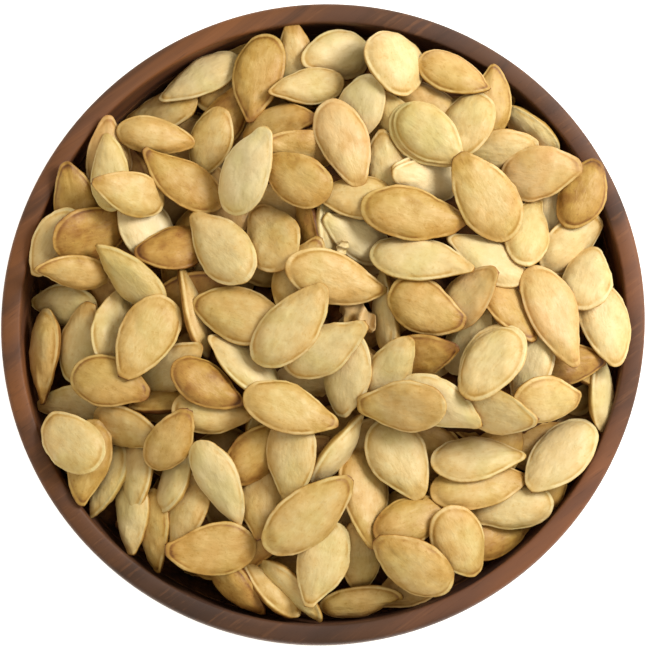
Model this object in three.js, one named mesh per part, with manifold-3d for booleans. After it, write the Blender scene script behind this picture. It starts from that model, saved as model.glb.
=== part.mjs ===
// A small bowl turned from dark wood, heaped past its rim with pumpkin seeds roasted in their shells.
// Lengths are in millimetres. +Z is up, +Y is the top of the photograph, and the origin is the middle of
// the bowl's foot, on the surface that it stands on.

import * as THREE from "three";
import { mergeVertices } from "three/addons/utils/BufferGeometryUtils.js";
import Module from "manifold-3d";

const wasm = await Module();
wasm.setup();

// ---------------------------------------------------------------------------------------------------
// Driving dimensions
// ---------------------------------------------------------------------------------------------------

const BOWL = {
  radius: 62.5, // at its widest, a little under the rim
  widestAt: 38,
  height: 46,
  rimWidth: 3.8,
  rimTuck: 0.5, // how far the rim closes in from the widest place
  rimRound: 1.1, // outer edge of the rim
  rimBreak: 0.3, // inner edge of the rim, only just broken
  footRadius: 29,
  footHeight: 2.5,
  footBreak: 0.6,
  floorThickness: 6.5,
  fullness: 2.5, // 2 is a round hollow, more is squarer at the bottom
  grain: 36, // degrees from +X
  oval: 0.007, // share by which it is longer along the grain, and shorter across it
};
const RIM_RADIUS = BOWL.radius - BOWL.rimTuck;
const INNER_RADIUS = RIM_RADIUS - BOWL.rimWidth;
const BOWL_SIDES = 44;
const OUTER_STEPS = 8;
const INNER_STEPS = 9;
const HOLLOW_SPACING = 0.8; // under 1, the curve's points are closer together near the rim

// The heap's surface is a low dome. Depths are measured down from it.
const HEAP = {
  edgeLevel: BOWL.height - 3.5, // where the dome meets the wall
  crownHeight: 9.8,
  crownShift: [5, 0], // the dome's top lies a little off the bowl's middle
  bedDepth: 16, // where the lowest seeds lie
  standingDepth: 11, // how far the heap is filled before some seeds are stood on edge in it
  fillDepth: 8, // how far it is filled before the uppermost seeds are laid on it
  candidates: 14, // places tried for each seed of the fill
  draw: 20417, // start of the random draw
};

// A pumpkin seed in its shell.
const SEED = {
  length: [15.5, 20],
  slenderness: [0.5, 0.6], // width over length
  thickness: [2.8, 3.5],
  sides: 8,
  taper: 0.28, // how much the tip's half is drawn in
  cushion: 0.62, // size of the raised part of a face
  shoulder: 0.72, // and its height, as a share of the middle's
};
// Seeds that are stood on edge, at a roll from flat: how many in the fill, and how far the upper edge of
// one may be over the dome, in the fill and of those that the photograph shows.
const STANDING = { count: 14, roll: [52, 76], showing: 0.8, placedShowing: 2 };

// How a seed that is let down on others tips: slopes are changed by less and less.
const SETTLE = { steps: 34, firstStep: 0.14, lastStep: 0.006, steepest: 0.6 };

// The photograph's own frame, for the seeds that are placed by where it shows them: the pixel over the
// bowl's middle, the rim's radius in pixels, and the camera's height over the table.
const PHOTO = { centre: [323.2, 321.5], rimRadius: 323, cameraHeight: 700, heapLevel: 50 };

// The solid core under the seeds that show.
const CORE = {
  rings: 10,
  window: 3.5, // reach of the look at the seeds round a place
  depth: 2.8, // under their average height
  root: 6, // how far the underside of a seed goes into the core
  leastShowing: 6, // square millimetres seen from above, for a seed to be fused on
};

// The seeds that the photograph shows standing on edge between the others: the pixel of the middle, the
// tip's heading in degrees anticlockwise from the right, length and width, and the roll in degrees. One
// near the wall may reach over the rim.
const ON_EDGE = [
  { px: 172, py: 402, heading: 6, length: 17, width: 8.6, roll: -66 },
  { px: 193, py: 311, heading: 107, length: 18.2, width: 9, roll: 72 },
  { px: 178, py: 475, heading: 69, length: 15.6, width: 8.5, roll: -58 },
  { px: 310, py: 225, heading: 100, length: 15.2, width: 8.6, roll: -76 },
  { px: 327, py: 222, heading: 92, length: 16.5, width: 9.5, roll: 70 },
  { px: 337, py: 450, heading: 51, length: 15.8, width: 8.8, roll: 70 },
  { px: 388, py: 315, heading: 96, length: 17.5, width: 8.8, roll: -74 },
  { px: 532, py: 124, heading: 138, length: 14.8, width: 8.6, roll: -58, overRim: 1 },
  { px: 603, py: 390, heading: 92, length: 16.8, width: 8.6, roll: 62, overRim: 2 },
  { px: 236, py: 592, heading: 315, length: 15, width: 8, roll: 45 },
  { px: 268, py: 594, heading: 135, length: 16.8, width: 8.6, roll: 62 },
];

// The uppermost seeds of the photograph, the lowest first, in the same terms. Some of them lean.
const UPPERMOST = [
  { px: 222, py: 112, heading: 55, length: 15.8, width: 8.4 },
  { px: 277, py: 122, heading: 8, length: 15.6, width: 8.8 },
  { px: 208, py: 138, heading: 250, length: 15, width: 8.6 },
  { px: 298, py: 149, heading: 170, length: 15, width: 8.6 },
  { px: 292, py: 50, heading: 95, length: 15, width: 8.4, overRim: 0.6 },
  { px: 566, py: 366, heading: 5, length: 15.4, width: 8.4 },
  { px: 505, py: 541, heading: 25, length: 16, width: 8.6 },
  { px: 556, py: 500, heading: 60, length: 15, width: 8.4 },
  { px: 104, py: 152, heading: 88, length: 16, width: 9, overRim: 1.2 },
  { px: 70, py: 195, heading: 100, length: 15.5, width: 8.5, overRim: 1.5 },
  { px: 46, py: 236, heading: 240, length: 15, width: 8.5, overRim: 0.8 },
  { px: 88, py: 230, heading: 20, length: 16.5, width: 11 },
  { px: 58, py: 300, heading: 175, length: 15.5, width: 8.5 },
  { px: 72, py: 269, heading: 175, length: 15.5, width: 7.2 },
  { px: 80, py: 342, heading: 80, length: 16, width: 9.5 },
  { px: 112, py: 324, heading: 80, length: 15.5, width: 9 },
  { px: 172, py: 366, heading: 32, length: 16, width: 9 },
  { px: 75, py: 402, heading: 180, length: 16.5, width: 9 },
  { px: 212, py: 412, heading: 355, length: 15.8, width: 8.5 },
  { px: 207, py: 385, heading: 330, length: 15, width: 9 },
  { px: 127, py: 426, heading: 340, length: 14.5, width: 9.2 },
  { px: 172, py: 440, heading: 60, length: 15, width: 8.6 },
  { px: 126, py: 520, heading: 268, length: 15.2, width: 8.2, roll: 38 },
  { px: 155, py: 530, heading: 275, length: 16.2, width: 8.6, roll: 48 },
  { px: 187, py: 512, heading: 255, length: 15.8, width: 9.4, roll: 32 },
  { px: 137, py: 475, heading: 265, length: 15.5, width: 8.5, roll: 48 },
  { px: 105, py: 482, heading: 248, length: 15.5, width: 8.5, roll: 55 },
  { px: 262, py: 500, heading: 270, length: 15.2, width: 9 },
  { px: 258, py: 452, heading: 40, length: 15.4, width: 9.6 },
  { px: 293, py: 456, heading: 268, length: 16.4, width: 10 },
  { px: 362, py: 556, heading: 270, length: 15.4, width: 9 },
  { px: 362, py: 603, heading: 8, length: 16, width: 7 },
  { px: 292, py: 590, heading: 317, length: 16.4, width: 8.6, roll: 55 },
  { px: 324, py: 564, heading: 250, length: 16.8, width: 10 },
  { px: 366, py: 498, heading: 279, length: 20, width: 9.8 },
  { px: 412, py: 522, heading: 20, length: 15.2, width: 9.2 },
  { px: 515, py: 510, heading: 190, length: 16, width: 9 },
  { px: 480, py: 488, heading: 8, length: 19, width: 9.6 },
  { px: 530, py: 366, heading: 255, length: 15.2, width: 9 },
  { px: 545, py: 402, heading: 3, length: 15.4, width: 9.8 },
  { px: 470, py: 340, heading: 60, length: 15.4, width: 9.6 },
  { px: 508, py: 311, heading: 305, length: 15.4, width: 9 },
  { px: 495, py: 413, heading: 340, length: 16.4, width: 9.6 },
  { px: 487, py: 261, heading: 151, length: 16.4, width: 9 },
  { px: 560, py: 205, heading: 90, length: 14.8, width: 8.6 },
  { px: 572, py: 243, heading: 40, length: 15.6, width: 10 },
  { px: 528, py: 233, heading: 75, length: 15.8, width: 9 },
  { px: 428, py: 104, heading: 150, length: 15, width: 8.6 },
  { px: 398, py: 125, heading: 120, length: 15, width: 8.6 },
  { px: 387, py: 170, heading: 100, length: 15.2, width: 8.6 },
  { px: 425, py: 180, heading: 170, length: 14.8, width: 8.8 },
  { px: 357, py: 237, heading: 150, length: 15.6, width: 8.6 },
  { px: 355, py: 198, heading: 180, length: 14.8, width: 8.6 },
  { px: 297, py: 180, heading: 150, length: 14.8, width: 9.6 },
  { px: 335, py: 48, heading: 190, length: 14.2, width: 9.6, overRim: 0.8 },
  { px: 358, py: 112, heading: 250, length: 16.2, width: 9.6 },
  { px: 496, py: 92, heading: 80, length: 14.8, width: 8.6, overRim: 1.5 },
  { px: 500, py: 148, heading: 180, length: 15.2, width: 9 },
  { px: 588, py: 192, heading: 65, length: 14.2, width: 9, overRim: 3.5 },
  { px: 607, py: 325, heading: 280, length: 17, width: 10, overRim: 2 },
  { px: 468, py: 300, heading: 45, length: 15.2, width: 9.2 },
  { px: 425, py: 310, heading: 335, length: 15.8, width: 10.2 },
  { px: 420, py: 358, heading: 12, length: 15.4, width: 9.2 },
  { px: 390, py: 372, heading: 60, length: 15.6, width: 8.6 },
  { px: 440, py: 405, heading: 330, length: 16.6, width: 9.6 },
  { px: 400, py: 460, heading: 300, length: 17.2, width: 11.2 },
  { px: 300, py: 275, heading: 60, length: 15.2, width: 9.2 },
  { px: 272, py: 238, heading: 120, length: 17.2, width: 11 },
  { px: 142, py: 220, heading: 113, length: 17.2, width: 10.8 },
  { px: 172, py: 247, heading: 187, length: 14.8, width: 9 },
  { px: 245, py: 366, heading: 140, length: 17.2, width: 9.6 },
  { px: 238, py: 315, heading: 165, length: 17.6, width: 10.8 },
  { px: 348, py: 375, heading: 260, length: 16.8, width: 10.4 },
  { px: 325, py: 350, heading: 28, length: 18.2, width: 9.6 },
  { px: 157, py: 103, heading: 195, length: 16, width: 8.2, overRim: 0.8 },
  { px: 197, py: 70, heading: 208, length: 17.4, width: 8.6, overRim: 0.5 },
  { px: 153, py: 132, heading: 352, length: 15.6, width: 7.2 },
  { px: 108, py: 170, heading: 95, length: 15.2, width: 7.6 },
  { px: 128, py: 192, heading: 160, length: 16, width: 8.5 },
  { px: 181, py: 178, heading: 144, length: 18.6, width: 9 },
  { px: 222, py: 247, heading: 133, length: 18.4, width: 10.8 },
  { px: 130, py: 274, heading: 138, length: 17, width: 8.6 },
  { px: 38, py: 352, heading: 268, length: 18.2, width: 8.6, roll: 50, overRim: 0.6 },
  { px: 110, py: 382, heading: 345, length: 15.6, width: 9.8 },
  { px: 147, py: 336, heading: 240, length: 17.8, width: 10.8 },
  { px: 256, py: 71, heading: 258, length: 17.8, width: 9.8, overRim: 0.8 },
  { px: 306, py: 83, heading: 188, length: 14.6, width: 7.4 },
  { px: 393, py: 62, heading: 283, length: 14.8, width: 13, overRim: 0.8 },
  { px: 343, py: 143, heading: 290, length: 17.8, width: 10 },
  { px: 247, py: 172, heading: 65, length: 18.4, width: 10.4 },
  { px: 335, py: 280, heading: 344, length: 20.4, width: 10 },
  { px: 292, py: 328, heading: 48, length: 19.8, width: 10.5 },
  { px: 290, py: 410, heading: 340, length: 18.6, width: 9.4 },
  { px: 420, py: 262, heading: 347, length: 20.4, width: 10 },
  { px: 412, py: 216, heading: 352, length: 20.6, width: 10.2 },
  { px: 403, py: 408, heading: 180, length: 17.4, width: 10.2 },
  { px: 466, py: 127, heading: 250, length: 14.6, width: 10.4 },
  { px: 452, py: 73, heading: 335, length: 14.8, width: 8.6 },
  { px: 428, py: 136, heading: 320, length: 15.6, width: 10 },
  { px: 540, py: 173, heading: 8, length: 15.8, width: 10.4 },
  { px: 484, py: 200, heading: 121, length: 19, width: 11.4 },
  { px: 588, py: 281, heading: 75, length: 14.4, width: 9.8, overRim: 1 },
  { px: 552, py: 318, heading: 292, length: 20.8, width: 10.2 },
  { px: 490, py: 367, heading: 229, length: 15.8, width: 11.4 },
  { px: 478, py: 461, heading: 3, length: 18.2, width: 9.4 },
  { px: 563, py: 458, heading: 222, length: 17.6, width: 10.8, overRim: 1.5 },
  { px: 460, py: 543, heading: 300, length: 15.4, width: 10.4 },
  { px: 417, py: 570, heading: 144, length: 18, width: 10.8 },
  { px: 310, py: 516, heading: 43, length: 21, width: 11.2 },
  { px: 221, py: 482, heading: 297, length: 19, width: 8.7 },
  { px: 214, py: 550, heading: 180, length: 17.4, width: 10.4 },
  { px: 62, py: 460, heading: 288, length: 15.6, width: 8.8 },
  { px: 76, py: 468, heading: 262, length: 16.6, width: 8.6, overRim: 0.5 },
  { px: 72, py: 443, heading: 140, length: 14.4, width: 10.4, overRim: 0.5 },
];

const WALL_GAP = 0.3; // between the heap and the bowl
const HEADROOM = 40; // over the rim, more than the heap rises
const CELL = 0.5; // of the grid that the seeds are laid on
const OUTLINE_POINTS = 12; // of a seed, where it is kept clear of the wall
const MERGE = 1e-3; // points closer than this are one

// Numbers of the random draw.
const DRAW = { multiplier: 1664525, increment: 1013904223, modulus: 2 ** 32 };

// ---------------------------------------------------------------------------------------------------
// Small helpers
// ---------------------------------------------------------------------------------------------------

const radians = THREE.MathUtils.degToRad;

// A row of random numbers that is the same each time.
class Draw {
  constructor(start) {
    this.state = start;
  }
  next() {
    this.state = (DRAW.multiplier * this.state + DRAW.increment) % DRAW.modulus;
    return this.state / DRAW.modulus;
  }
  between([low, high]) {
    return low + (high - low) * this.next();
  }
}

// ---------------------------------------------------------------------------------------------------
// Bowl
// ---------------------------------------------------------------------------------------------------

// Height of the hollow's surface over the table, at a radius.
function hollowHeight(r) {
  const depth = BOWL.height - BOWL.floorThickness;
  const out = Math.min(r / INNER_RADIUS, 1);
  return BOWL.height - depth * (1 - out ** BOWL.fullness) ** (1 / BOWL.fullness);
}

// The hollow's curve from the rim down to the middle of the floor, drawn in by a gap.
function hollowCurve(gap) {
  const points = [];
  for (let i = 0; i < INNER_STEPS; i++) {
    const r = INNER_RADIUS * Math.cos((Math.PI / 2) * (i / INNER_STEPS)) ** HOLLOW_SPACING;
    points.push(new THREE.Vector2(r - gap, hollowHeight(r) + gap));
  }
  points.push(new THREE.Vector2(0, BOWL.floorThickness + gap));
  return points;
}

// The outside from the foot up to the widest place.
function wallCurve() {
  const points = [];
  const run = BOWL.radius - BOWL.footRadius;
  const rise = BOWL.widestAt - BOWL.footHeight;
  for (let i = 1; i <= OUTER_STEPS; i++) {
    const turn = (Math.PI / 2) * (i / OUTER_STEPS);
    points.push(
      new THREE.Vector2(
        BOWL.footRadius + run * Math.sin(turn),
        BOWL.footHeight + rise * (1 - Math.cos(turn)),
      ),
    );
  }
  return points;
}

function bowlProfile() {
  const corner = [0, 45, 90].map((turn) => {
    const a = radians(turn);
    return new THREE.Vector2(
      RIM_RADIUS - BOWL.rimRound * (1 - Math.cos(a)),
      BOWL.height - BOWL.rimRound * (1 - Math.sin(a)),
    );
  });
  return [
    new THREE.Vector2(0, 0),
    new THREE.Vector2(BOWL.footRadius - BOWL.footBreak, 0),
    new THREE.Vector2(BOWL.footRadius, BOWL.footBreak),
    new THREE.Vector2(BOWL.footRadius, BOWL.footHeight),
    ...wallCurve(),
    ...corner,
    new THREE.Vector2(INNER_RADIUS + BOWL.rimBreak, BOWL.height),
    new THREE.Vector2(INNER_RADIUS, BOWL.height - BOWL.rimBreak),
    ...hollowCurve(0).slice(1),
  ];
}

// A turned solid about +Z.
function turned(profile) {
  return new THREE.LatheGeometry(profile, BOWL_SIDES).rotateX(Math.PI / 2);
}

// ---------------------------------------------------------------------------------------------------
// How the seeds come to lie
// ---------------------------------------------------------------------------------------------------

// Height of the heap's dome over a place.
function domeHeight(x, y) {
  const off = Math.hypot(x - HEAP.crownShift[0], y - HEAP.crownShift[1]) / INNER_RADIUS;
  return HEAP.edgeLevel + HEAP.crownHeight * (1 - Math.min(off, 1) ** 2);
}

// What has been laid so far: on each cell of a grid, the highest surface and the seed that it is on.
class Surface {
  constructor() {
    this.reach = Math.ceil(BOWL.radius / CELL);
    this.side = 2 * this.reach + 1;
    this.height = new Float64Array(this.side ** 2);
    this.owner = new Int32Array(this.side ** 2).fill(-1);
    this.eachCell((x, y, cell) => {
      const r = Math.hypot(x, y);
      this.height[cell] =
        r > INNER_RADIUS
          ? BOWL.height + WALL_GAP
          : Math.max(hollowHeight(r), domeHeight(x, y) - HEAP.bedDepth);
    });
  }

  eachCell(visit) {
    for (let j = 0; j < this.side; j++)
      for (let i = 0; i < this.side; i++)
        visit((i - this.reach) * CELL, (j - this.reach) * CELL, j * this.side + i);
  }

  // Calls visit with each cell that an upright line meets the seed on, its place from the seed's middle,
  // and how far under and over that middle the seed's two faces are.
  eachUnder(seed, visit) {
    const { xx, xy, yy, xz, yz, zz } = quadric(seed);
    const span = seed.length / 2;
    const low = (middle) => Math.max(Math.ceil((middle - span) / CELL) + this.reach, 0);
    const high = (middle) => Math.min(Math.floor((middle + span) / CELL) + this.reach, this.side - 1);
    for (let j = low(seed.y); j <= high(seed.y); j++) {
      const dy = (j - this.reach) * CELL - seed.y;
      for (let i = low(seed.x); i <= high(seed.x); i++) {
        const dx = (i - this.reach) * CELL - seed.x;
        const slant = xz * dx + yz * dy;
        const inside = slant * slant - zz * (xx * dx * dx + 2 * xy * dx * dy + yy * dy * dy - 1);
        if (inside <= 0) continue;
        const half = Math.sqrt(inside) / zz;
        visit(j * this.side + i, dx, dy, -slant / zz - half, -slant / zz + half);
      }
    }
  }

  // The height at which the seed's middle stops when it is let down, and where it first touches.
  stop(seed) {
    const touch = { z: -Infinity, dx: 0, dy: 0 };
    this.eachUnder(seed, (cell, dx, dy, under) => {
      const z = this.height[cell] - under;
      if (z > touch.z) Object.assign(touch, { z, dx, dy });
    });
    return touch;
  }

  // How far the surface under a seed lies below the dome, on average.
  room(seed) {
    let sum = 0;
    let cells = 0;
    this.eachUnder(seed, (cell, dx, dy) => {
      sum += domeHeight(seed.x + dx, seed.y + dy) - this.height[cell];
      cells += 1;
    });
    return sum / cells;
  }

  // The average height within reach of a place.
  averageNear(x, y, reach) {
    let sum = 0;
    let cells = 0;
    this.eachCell((cellX, cellY, cell) => {
      if (Math.abs(cellX - x) > reach || Math.abs(cellY - y) > reach) return;
      if (Math.hypot(cellX, cellY) > INNER_RADIUS) return;
      sum += this.height[cell];
      cells += 1;
    });
    return cells ? sum / cells : HEAP.edgeLevel;
  }

  // How many square millimetres of a seed are seen from above.
  showing(number) {
    return this.owner.filter((owner) => owner === number).length * CELL ** 2;
  }

  lay(seed, number) {
    this.eachUnder(seed, (cell, dx, dy, under, over) => {
      if (seed.z + over > this.height[cell]) {
        this.height[cell] = seed.z + over;
        this.owner[cell] = number;
      }
    });
  }
}

// The seed's three axes: along it to its tip, across it, and out of its upper face.
function axes(seed) {
  const out = new THREE.Vector3(-seed.slopeX, -seed.slopeY, 1).normalize();
  const c = Math.cos(seed.heading);
  const s = Math.sin(seed.heading);
  const along = new THREE.Vector3(c, s, seed.slopeX * c + seed.slopeY * s).normalize();
  return [along, new THREE.Vector3().crossVectors(out, along), out];
}

// The coefficients of the ellipsoid that stands for a seed while it is laid.
function quadric(seed) {
  const half = [seed.length / 2, seed.width / 2, seed.thickness / 2];
  const sum = { xx: 0, xy: 0, yy: 0, xz: 0, yz: 0, zz: 0 };
  axes(seed).forEach((axis, i) => {
    const k = 1 / half[i] ** 2;
    sum.xx += k * axis.x * axis.x;
    sum.xy += k * axis.x * axis.y;
    sum.yy += k * axis.y * axis.y;
    sum.xz += k * axis.x * axis.z;
    sum.yz += k * axis.y * axis.z;
    sum.zz += k * axis.z * axis.z;
  });
  return sum;
}

// Lets a seed tip over whatever it touches until its middle can't sink further.
function settle(surface, seed) {
  let best = { ...seed, z: Infinity };
  const shrink = (SETTLE.lastStep / SETTLE.firstStep) ** (1 / SETTLE.steps);
  let step = SETTLE.firstStep;
  for (let i = 0; i < SETTLE.steps; i++) {
    const touch = surface.stop(seed);
    if (touch.z < best.z) best = { ...seed, z: touch.z };
    const arm = Math.hypot(touch.dx, touch.dy) + CELL / 2;
    const clamp = (slope) => Math.max(-SETTLE.steepest, Math.min(SETTLE.steepest, slope));
    seed = {
      ...seed,
      slopeX: clamp(seed.slopeX + (step * touch.dx) / arm),
      slopeY: clamp(seed.slopeY + (step * touch.dy) / arm),
    };
    step *= shrink;
  }
  return best;
}

// Moves a seed towards the middle until its outline is clear of the wall, or as far over it as it may be.
function keepInside(seed, overRim = 0) {
  let over = 0;
  for (let i = 0; i < OUTLINE_POINTS; i++) {
    const turn = (2 * Math.PI * i) / OUTLINE_POINTS;
    const along = (seed.length / 2) * Math.cos(turn);
    const across = (seed.width / 2) * Math.sin(turn);
    const x = seed.x + along * Math.cos(seed.heading) - across * Math.sin(seed.heading);
    const y = seed.y + along * Math.sin(seed.heading) + across * Math.cos(seed.heading);
    over = Math.max(over, Math.hypot(x, y) - (INNER_RADIUS - WALL_GAP + overRim));
  }
  const r = Math.hypot(seed.x, seed.y);
  const keep = r > 0 ? Math.max(1 - over / r, 0) : 1;
  return { ...seed, x: seed.x * keep, y: seed.y * keep };
}

function anySeed(draw) {
  const length = draw.between(SEED.length);
  const r = INNER_RADIUS * Math.sqrt(draw.next());
  const turn = 2 * Math.PI * draw.next();
  return keepInside({
    x: r * Math.cos(turn),
    y: r * Math.sin(turn),
    heading: 2 * Math.PI * draw.next(),
    slopeX: 0,
    slopeY: 0,
    length,
    width: length * draw.between(SEED.slenderness),
    thickness: draw.between(SEED.thickness),
  });
}

// Rolls a seed about its length, so that it stands more or less on edge.
function rolled(seed, degrees) {
  const slope = Math.tan(radians(degrees));
  return {
    ...seed,
    slopeX: -slope * Math.sin(seed.heading),
    slopeY: slope * Math.cos(seed.heading),
  };
}

// A seed where the photograph shows it. What lies nearer to the camera than the rim looks larger there.
function placedSeed(row) {
  const nearer = (PHOTO.cameraHeight - PHOTO.heapLevel) / (PHOTO.cameraHeight - BOWL.height);
  const scale = (nearer * RIM_RADIUS) / PHOTO.rimRadius;
  const seed = {
    x: (row.px - PHOTO.centre[0]) * scale,
    y: (PHOTO.centre[1] - row.py) * scale,
    heading: radians(row.heading),
    slopeX: 0,
    slopeY: 0,
    length: row.length,
    width: row.width,
    thickness: (SEED.thickness[0] + SEED.thickness[1]) / 2,
  };
  return keepInside(seed, row.overRim);
}

// How far a seed reaches over its middle.
function reachUp(seed) {
  const half = [seed.length / 2, seed.width / 2, seed.thickness / 2];
  return Math.hypot(...axes(seed).map((axis, i) => axis.z * half[i]));
}

// Lays every seed of the heap, from the bed up.
function heapedSeeds() {
  const draw = new Draw(HEAP.draw);
  const surface = new Surface();
  const seeds = [];

  const lay = (seed) => {
    surface.lay(seed, seeds.length);
    seeds.push(seed);
  };
  const fillTo = (depth) => {
    for (;;) {
      const fits = [];
      for (let i = 0; i < HEAP.candidates; i++) {
        const seed = anySeed(draw);
        const rise = surface.stop(seed).z - domeHeight(seed.x, seed.y);
        if (surface.room(seed) > depth) fits.push({ seed, rise });
      }
      if (!fits.length) return;
      const deepest = fits.reduce((a, b) => (b.rise < a.rise ? b : a));
      lay(settle(surface, deepest.seed));
    }
  };
  const stand = (seed, roll, showing) => {
    const leaning = rolled(seed, roll);
    const highest = domeHeight(seed.x, seed.y) + showing - reachUp(leaning);
    lay({ ...leaning, z: Math.min(surface.stop(leaning).z, highest) });
  };

  fillTo(HEAP.standingDepth);
  for (let i = 0; i < STANDING.count; i++) {
    stand(anySeed(draw), draw.between(STANDING.roll), STANDING.showing);
  }
  fillTo(HEAP.fillDepth);
  [...ON_EDGE, ...UPPERMOST].forEach((row) => {
    if (row.roll) stand(placedSeed(row), row.roll, STANDING.placedShowing);
    else lay(settle(surface, placedSeed(row)));
  });
  return { seeds, surface };
}

// ---------------------------------------------------------------------------------------------------
// The heap as one solid
// ---------------------------------------------------------------------------------------------------

// A closed solid through rings of points, all of one count, between a first and a last point.
function ringed(first, rings, last) {
  const sides = rings[0].length;
  const points = [first, ...rings.flat(), last];
  const at = (ring, i) => 1 + ring * sides + (i % sides);
  const faces = [];
  for (let i = 0; i < sides; i++) {
    faces.push(0, at(0, i + 1), at(0, i));
    for (let ring = 0; ring + 1 < rings.length; ring++) {
      faces.push(at(ring, i), at(ring, i + 1), at(ring + 1, i + 1));
      faces.push(at(ring, i), at(ring + 1, i + 1), at(ring + 1, i));
    }
    faces.push(at(rings.length - 1, i), at(rings.length - 1, i + 1), points.length - 1);
  }
  return new THREE.BufferGeometry().setFromPoints(points).setIndex(faces);
}

function solidOf(geometry) {
  const bare = new THREE.BufferGeometry()
    .setAttribute("position", geometry.getAttribute("position"))
    .setIndex(geometry.index);
  const merged = mergeVertices(bare, MERGE);
  return new wasm.Manifold(
    new wasm.Mesh({
      numProp: 3,
      vertProperties: merged.getAttribute("position").array,
      triVerts: new Uint32Array(merged.index.array),
    }),
  );
}

function geometryOf(solid) {
  const { vertProperties, triVerts } = solid.getMesh();
  const geometry = new THREE.BufferGeometry()
    .setAttribute("position", new THREE.BufferAttribute(vertProperties, 3))
    .setIndex(new THREE.BufferAttribute(triVerts, 1));
  geometry.computeVertexNormals();
  return geometry;
}

// Points round a seed's outline, pointed at the tip, at a share of its size and a height over its middle.
function seedRing(seed, share, height) {
  const [along, across, out] = axes(seed);
  return Array.from({ length: SEED.sides }, (_, i) => {
    const turn = (2 * Math.PI * i) / SEED.sides;
    const narrowing = 1 - SEED.taper * Math.max(Math.cos(turn), 0) ** 2;
    return new THREE.Vector3(seed.x, seed.y, seed.z)
      .addScaledVector(along, (share * seed.length * Math.cos(turn)) / 2)
      .addScaledVector(across, (share * seed.width * Math.sin(turn) * narrowing) / 2)
      .addScaledVector(out, height);
  });
}

// A seed with few sides: its rim, the cushion of its upper face, and an underside that comes to a point
// in the core.
function seedSolid(seed, surface) {
  const half = seed.thickness / 2;
  const root = Math.min(seed.z - half, coreHeight(surface, seed.x, seed.y) - CORE.root);
  return solidOf(
    ringed(
      new THREE.Vector3(seed.x, seed.y, root),
      [seedRing(seed, 1, 0), seedRing(seed, SEED.cushion, half * SEED.shoulder)],
      seedRing(seed, 0, half)[0],
    ),
  );
}

// The core's upper side follows the seeds at a depth.
function coreHeight(surface, x, y) {
  return surface.averageNear(x, y, CORE.window) - CORE.depth;
}

function core(surface) {
  const ring = (r, height) =>
    Array.from({ length: BOWL_SIDES }, (_, i) => {
      const turn = (2 * Math.PI * i) / BOWL_SIDES;
      const x = r * Math.cos(turn);
      const y = r * Math.sin(turn);
      return new THREE.Vector3(x, y, height(x, y));
    });
  const cover = (x, y) => coreHeight(surface, x, y);
  const rings = [ring(BOWL.radius, () => 0)];
  for (let i = CORE.rings; i > 0; i--) rings.push(ring((BOWL.radius * i) / CORE.rings, cover));
  return solidOf(ringed(new THREE.Vector3(), rings, new THREE.Vector3(0, 0, cover(0, 0))));
}

// What the heap may fill: the bowl's hollow, less a gap, and the space over the bowl.
function heapSpace() {
  const overRim = BOWL.height + WALL_GAP;
  return solidOf(
    turned([
      ...hollowCurve(WALL_GAP).slice(1).reverse(),
      new THREE.Vector2(INNER_RADIUS - WALL_GAP, overRim),
      new THREE.Vector2(BOWL.radius, overRim),
      new THREE.Vector2(BOWL.radius, overRim + HEADROOM),
      new THREE.Vector2(0, overRim + HEADROOM),
    ]),
  );
}

// The core and every seed that shows, as one solid with no hollow sealed in it.
function heapGeometry() {
  const { seeds, surface } = heapedSeeds();
  const shown = seeds.filter((seed, number) => surface.showing(number) > CORE.leastShowing);
  const fused = shown.reduce((heap, seed) => heap.add(seedSolid(seed, surface)), core(surface));
  const pieces = fused.intersect(heapSpace()).decompose();
  const heap = pieces.reduce((a, b) => (b.volume() > a.volume() ? b : a));
  return geometryOf(heap);
}

// ---------------------------------------------------------------------------------------------------
// Part
// ---------------------------------------------------------------------------------------------------

// Wood shrinks more across the grain than along it, so a turned bowl is never quite round.
function seasoned(geometry) {
  const along = new THREE.Matrix4().makeRotationZ(radians(BOWL.grain));
  const oval = new THREE.Matrix4().makeScale(1 + BOWL.oval, 1 - BOWL.oval, 1);
  return geometry.applyMatrix4(oval.premultiply(along).multiply(along.clone().invert()));
}

function part(name, geometry, color, roughness) {
  const mesh = new THREE.Mesh(seasoned(geometry), new THREE.MeshStandardMaterial({ color, roughness }));
  mesh.name = name;
  return mesh;
}

const group = new THREE.Group();
group.name = "bowl_of_roasted_seeds";
group.add(part("bowl", turned(bowlProfile()), "#5f4132", 0.45));
group.add(part("seeds", heapGeometry(), "#c9a464", 0.75));

export default group;
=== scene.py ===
"""Pumpkin seeds roasted in their shells, heaped past the rim of a small bowl turned from dark wood.

The bowl's sizes and the rule by which the seeds come to lie are those of the solid model, so each seed
here lies over the same seed of the solid.  Sizes are millimetres until a mesh is written in metres.
+Z is up, +Y is the top of the photograph, and the bowl stands on z = 0.
"""

import logging
import math
from dataclasses import astuple, dataclass, field, replace
from enum import Enum
from typing import ClassVar, Iterable, Optional, Sequence

import bmesh
import bpy
import numpy as np
from mathutils import Euler, Matrix, Vector


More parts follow.
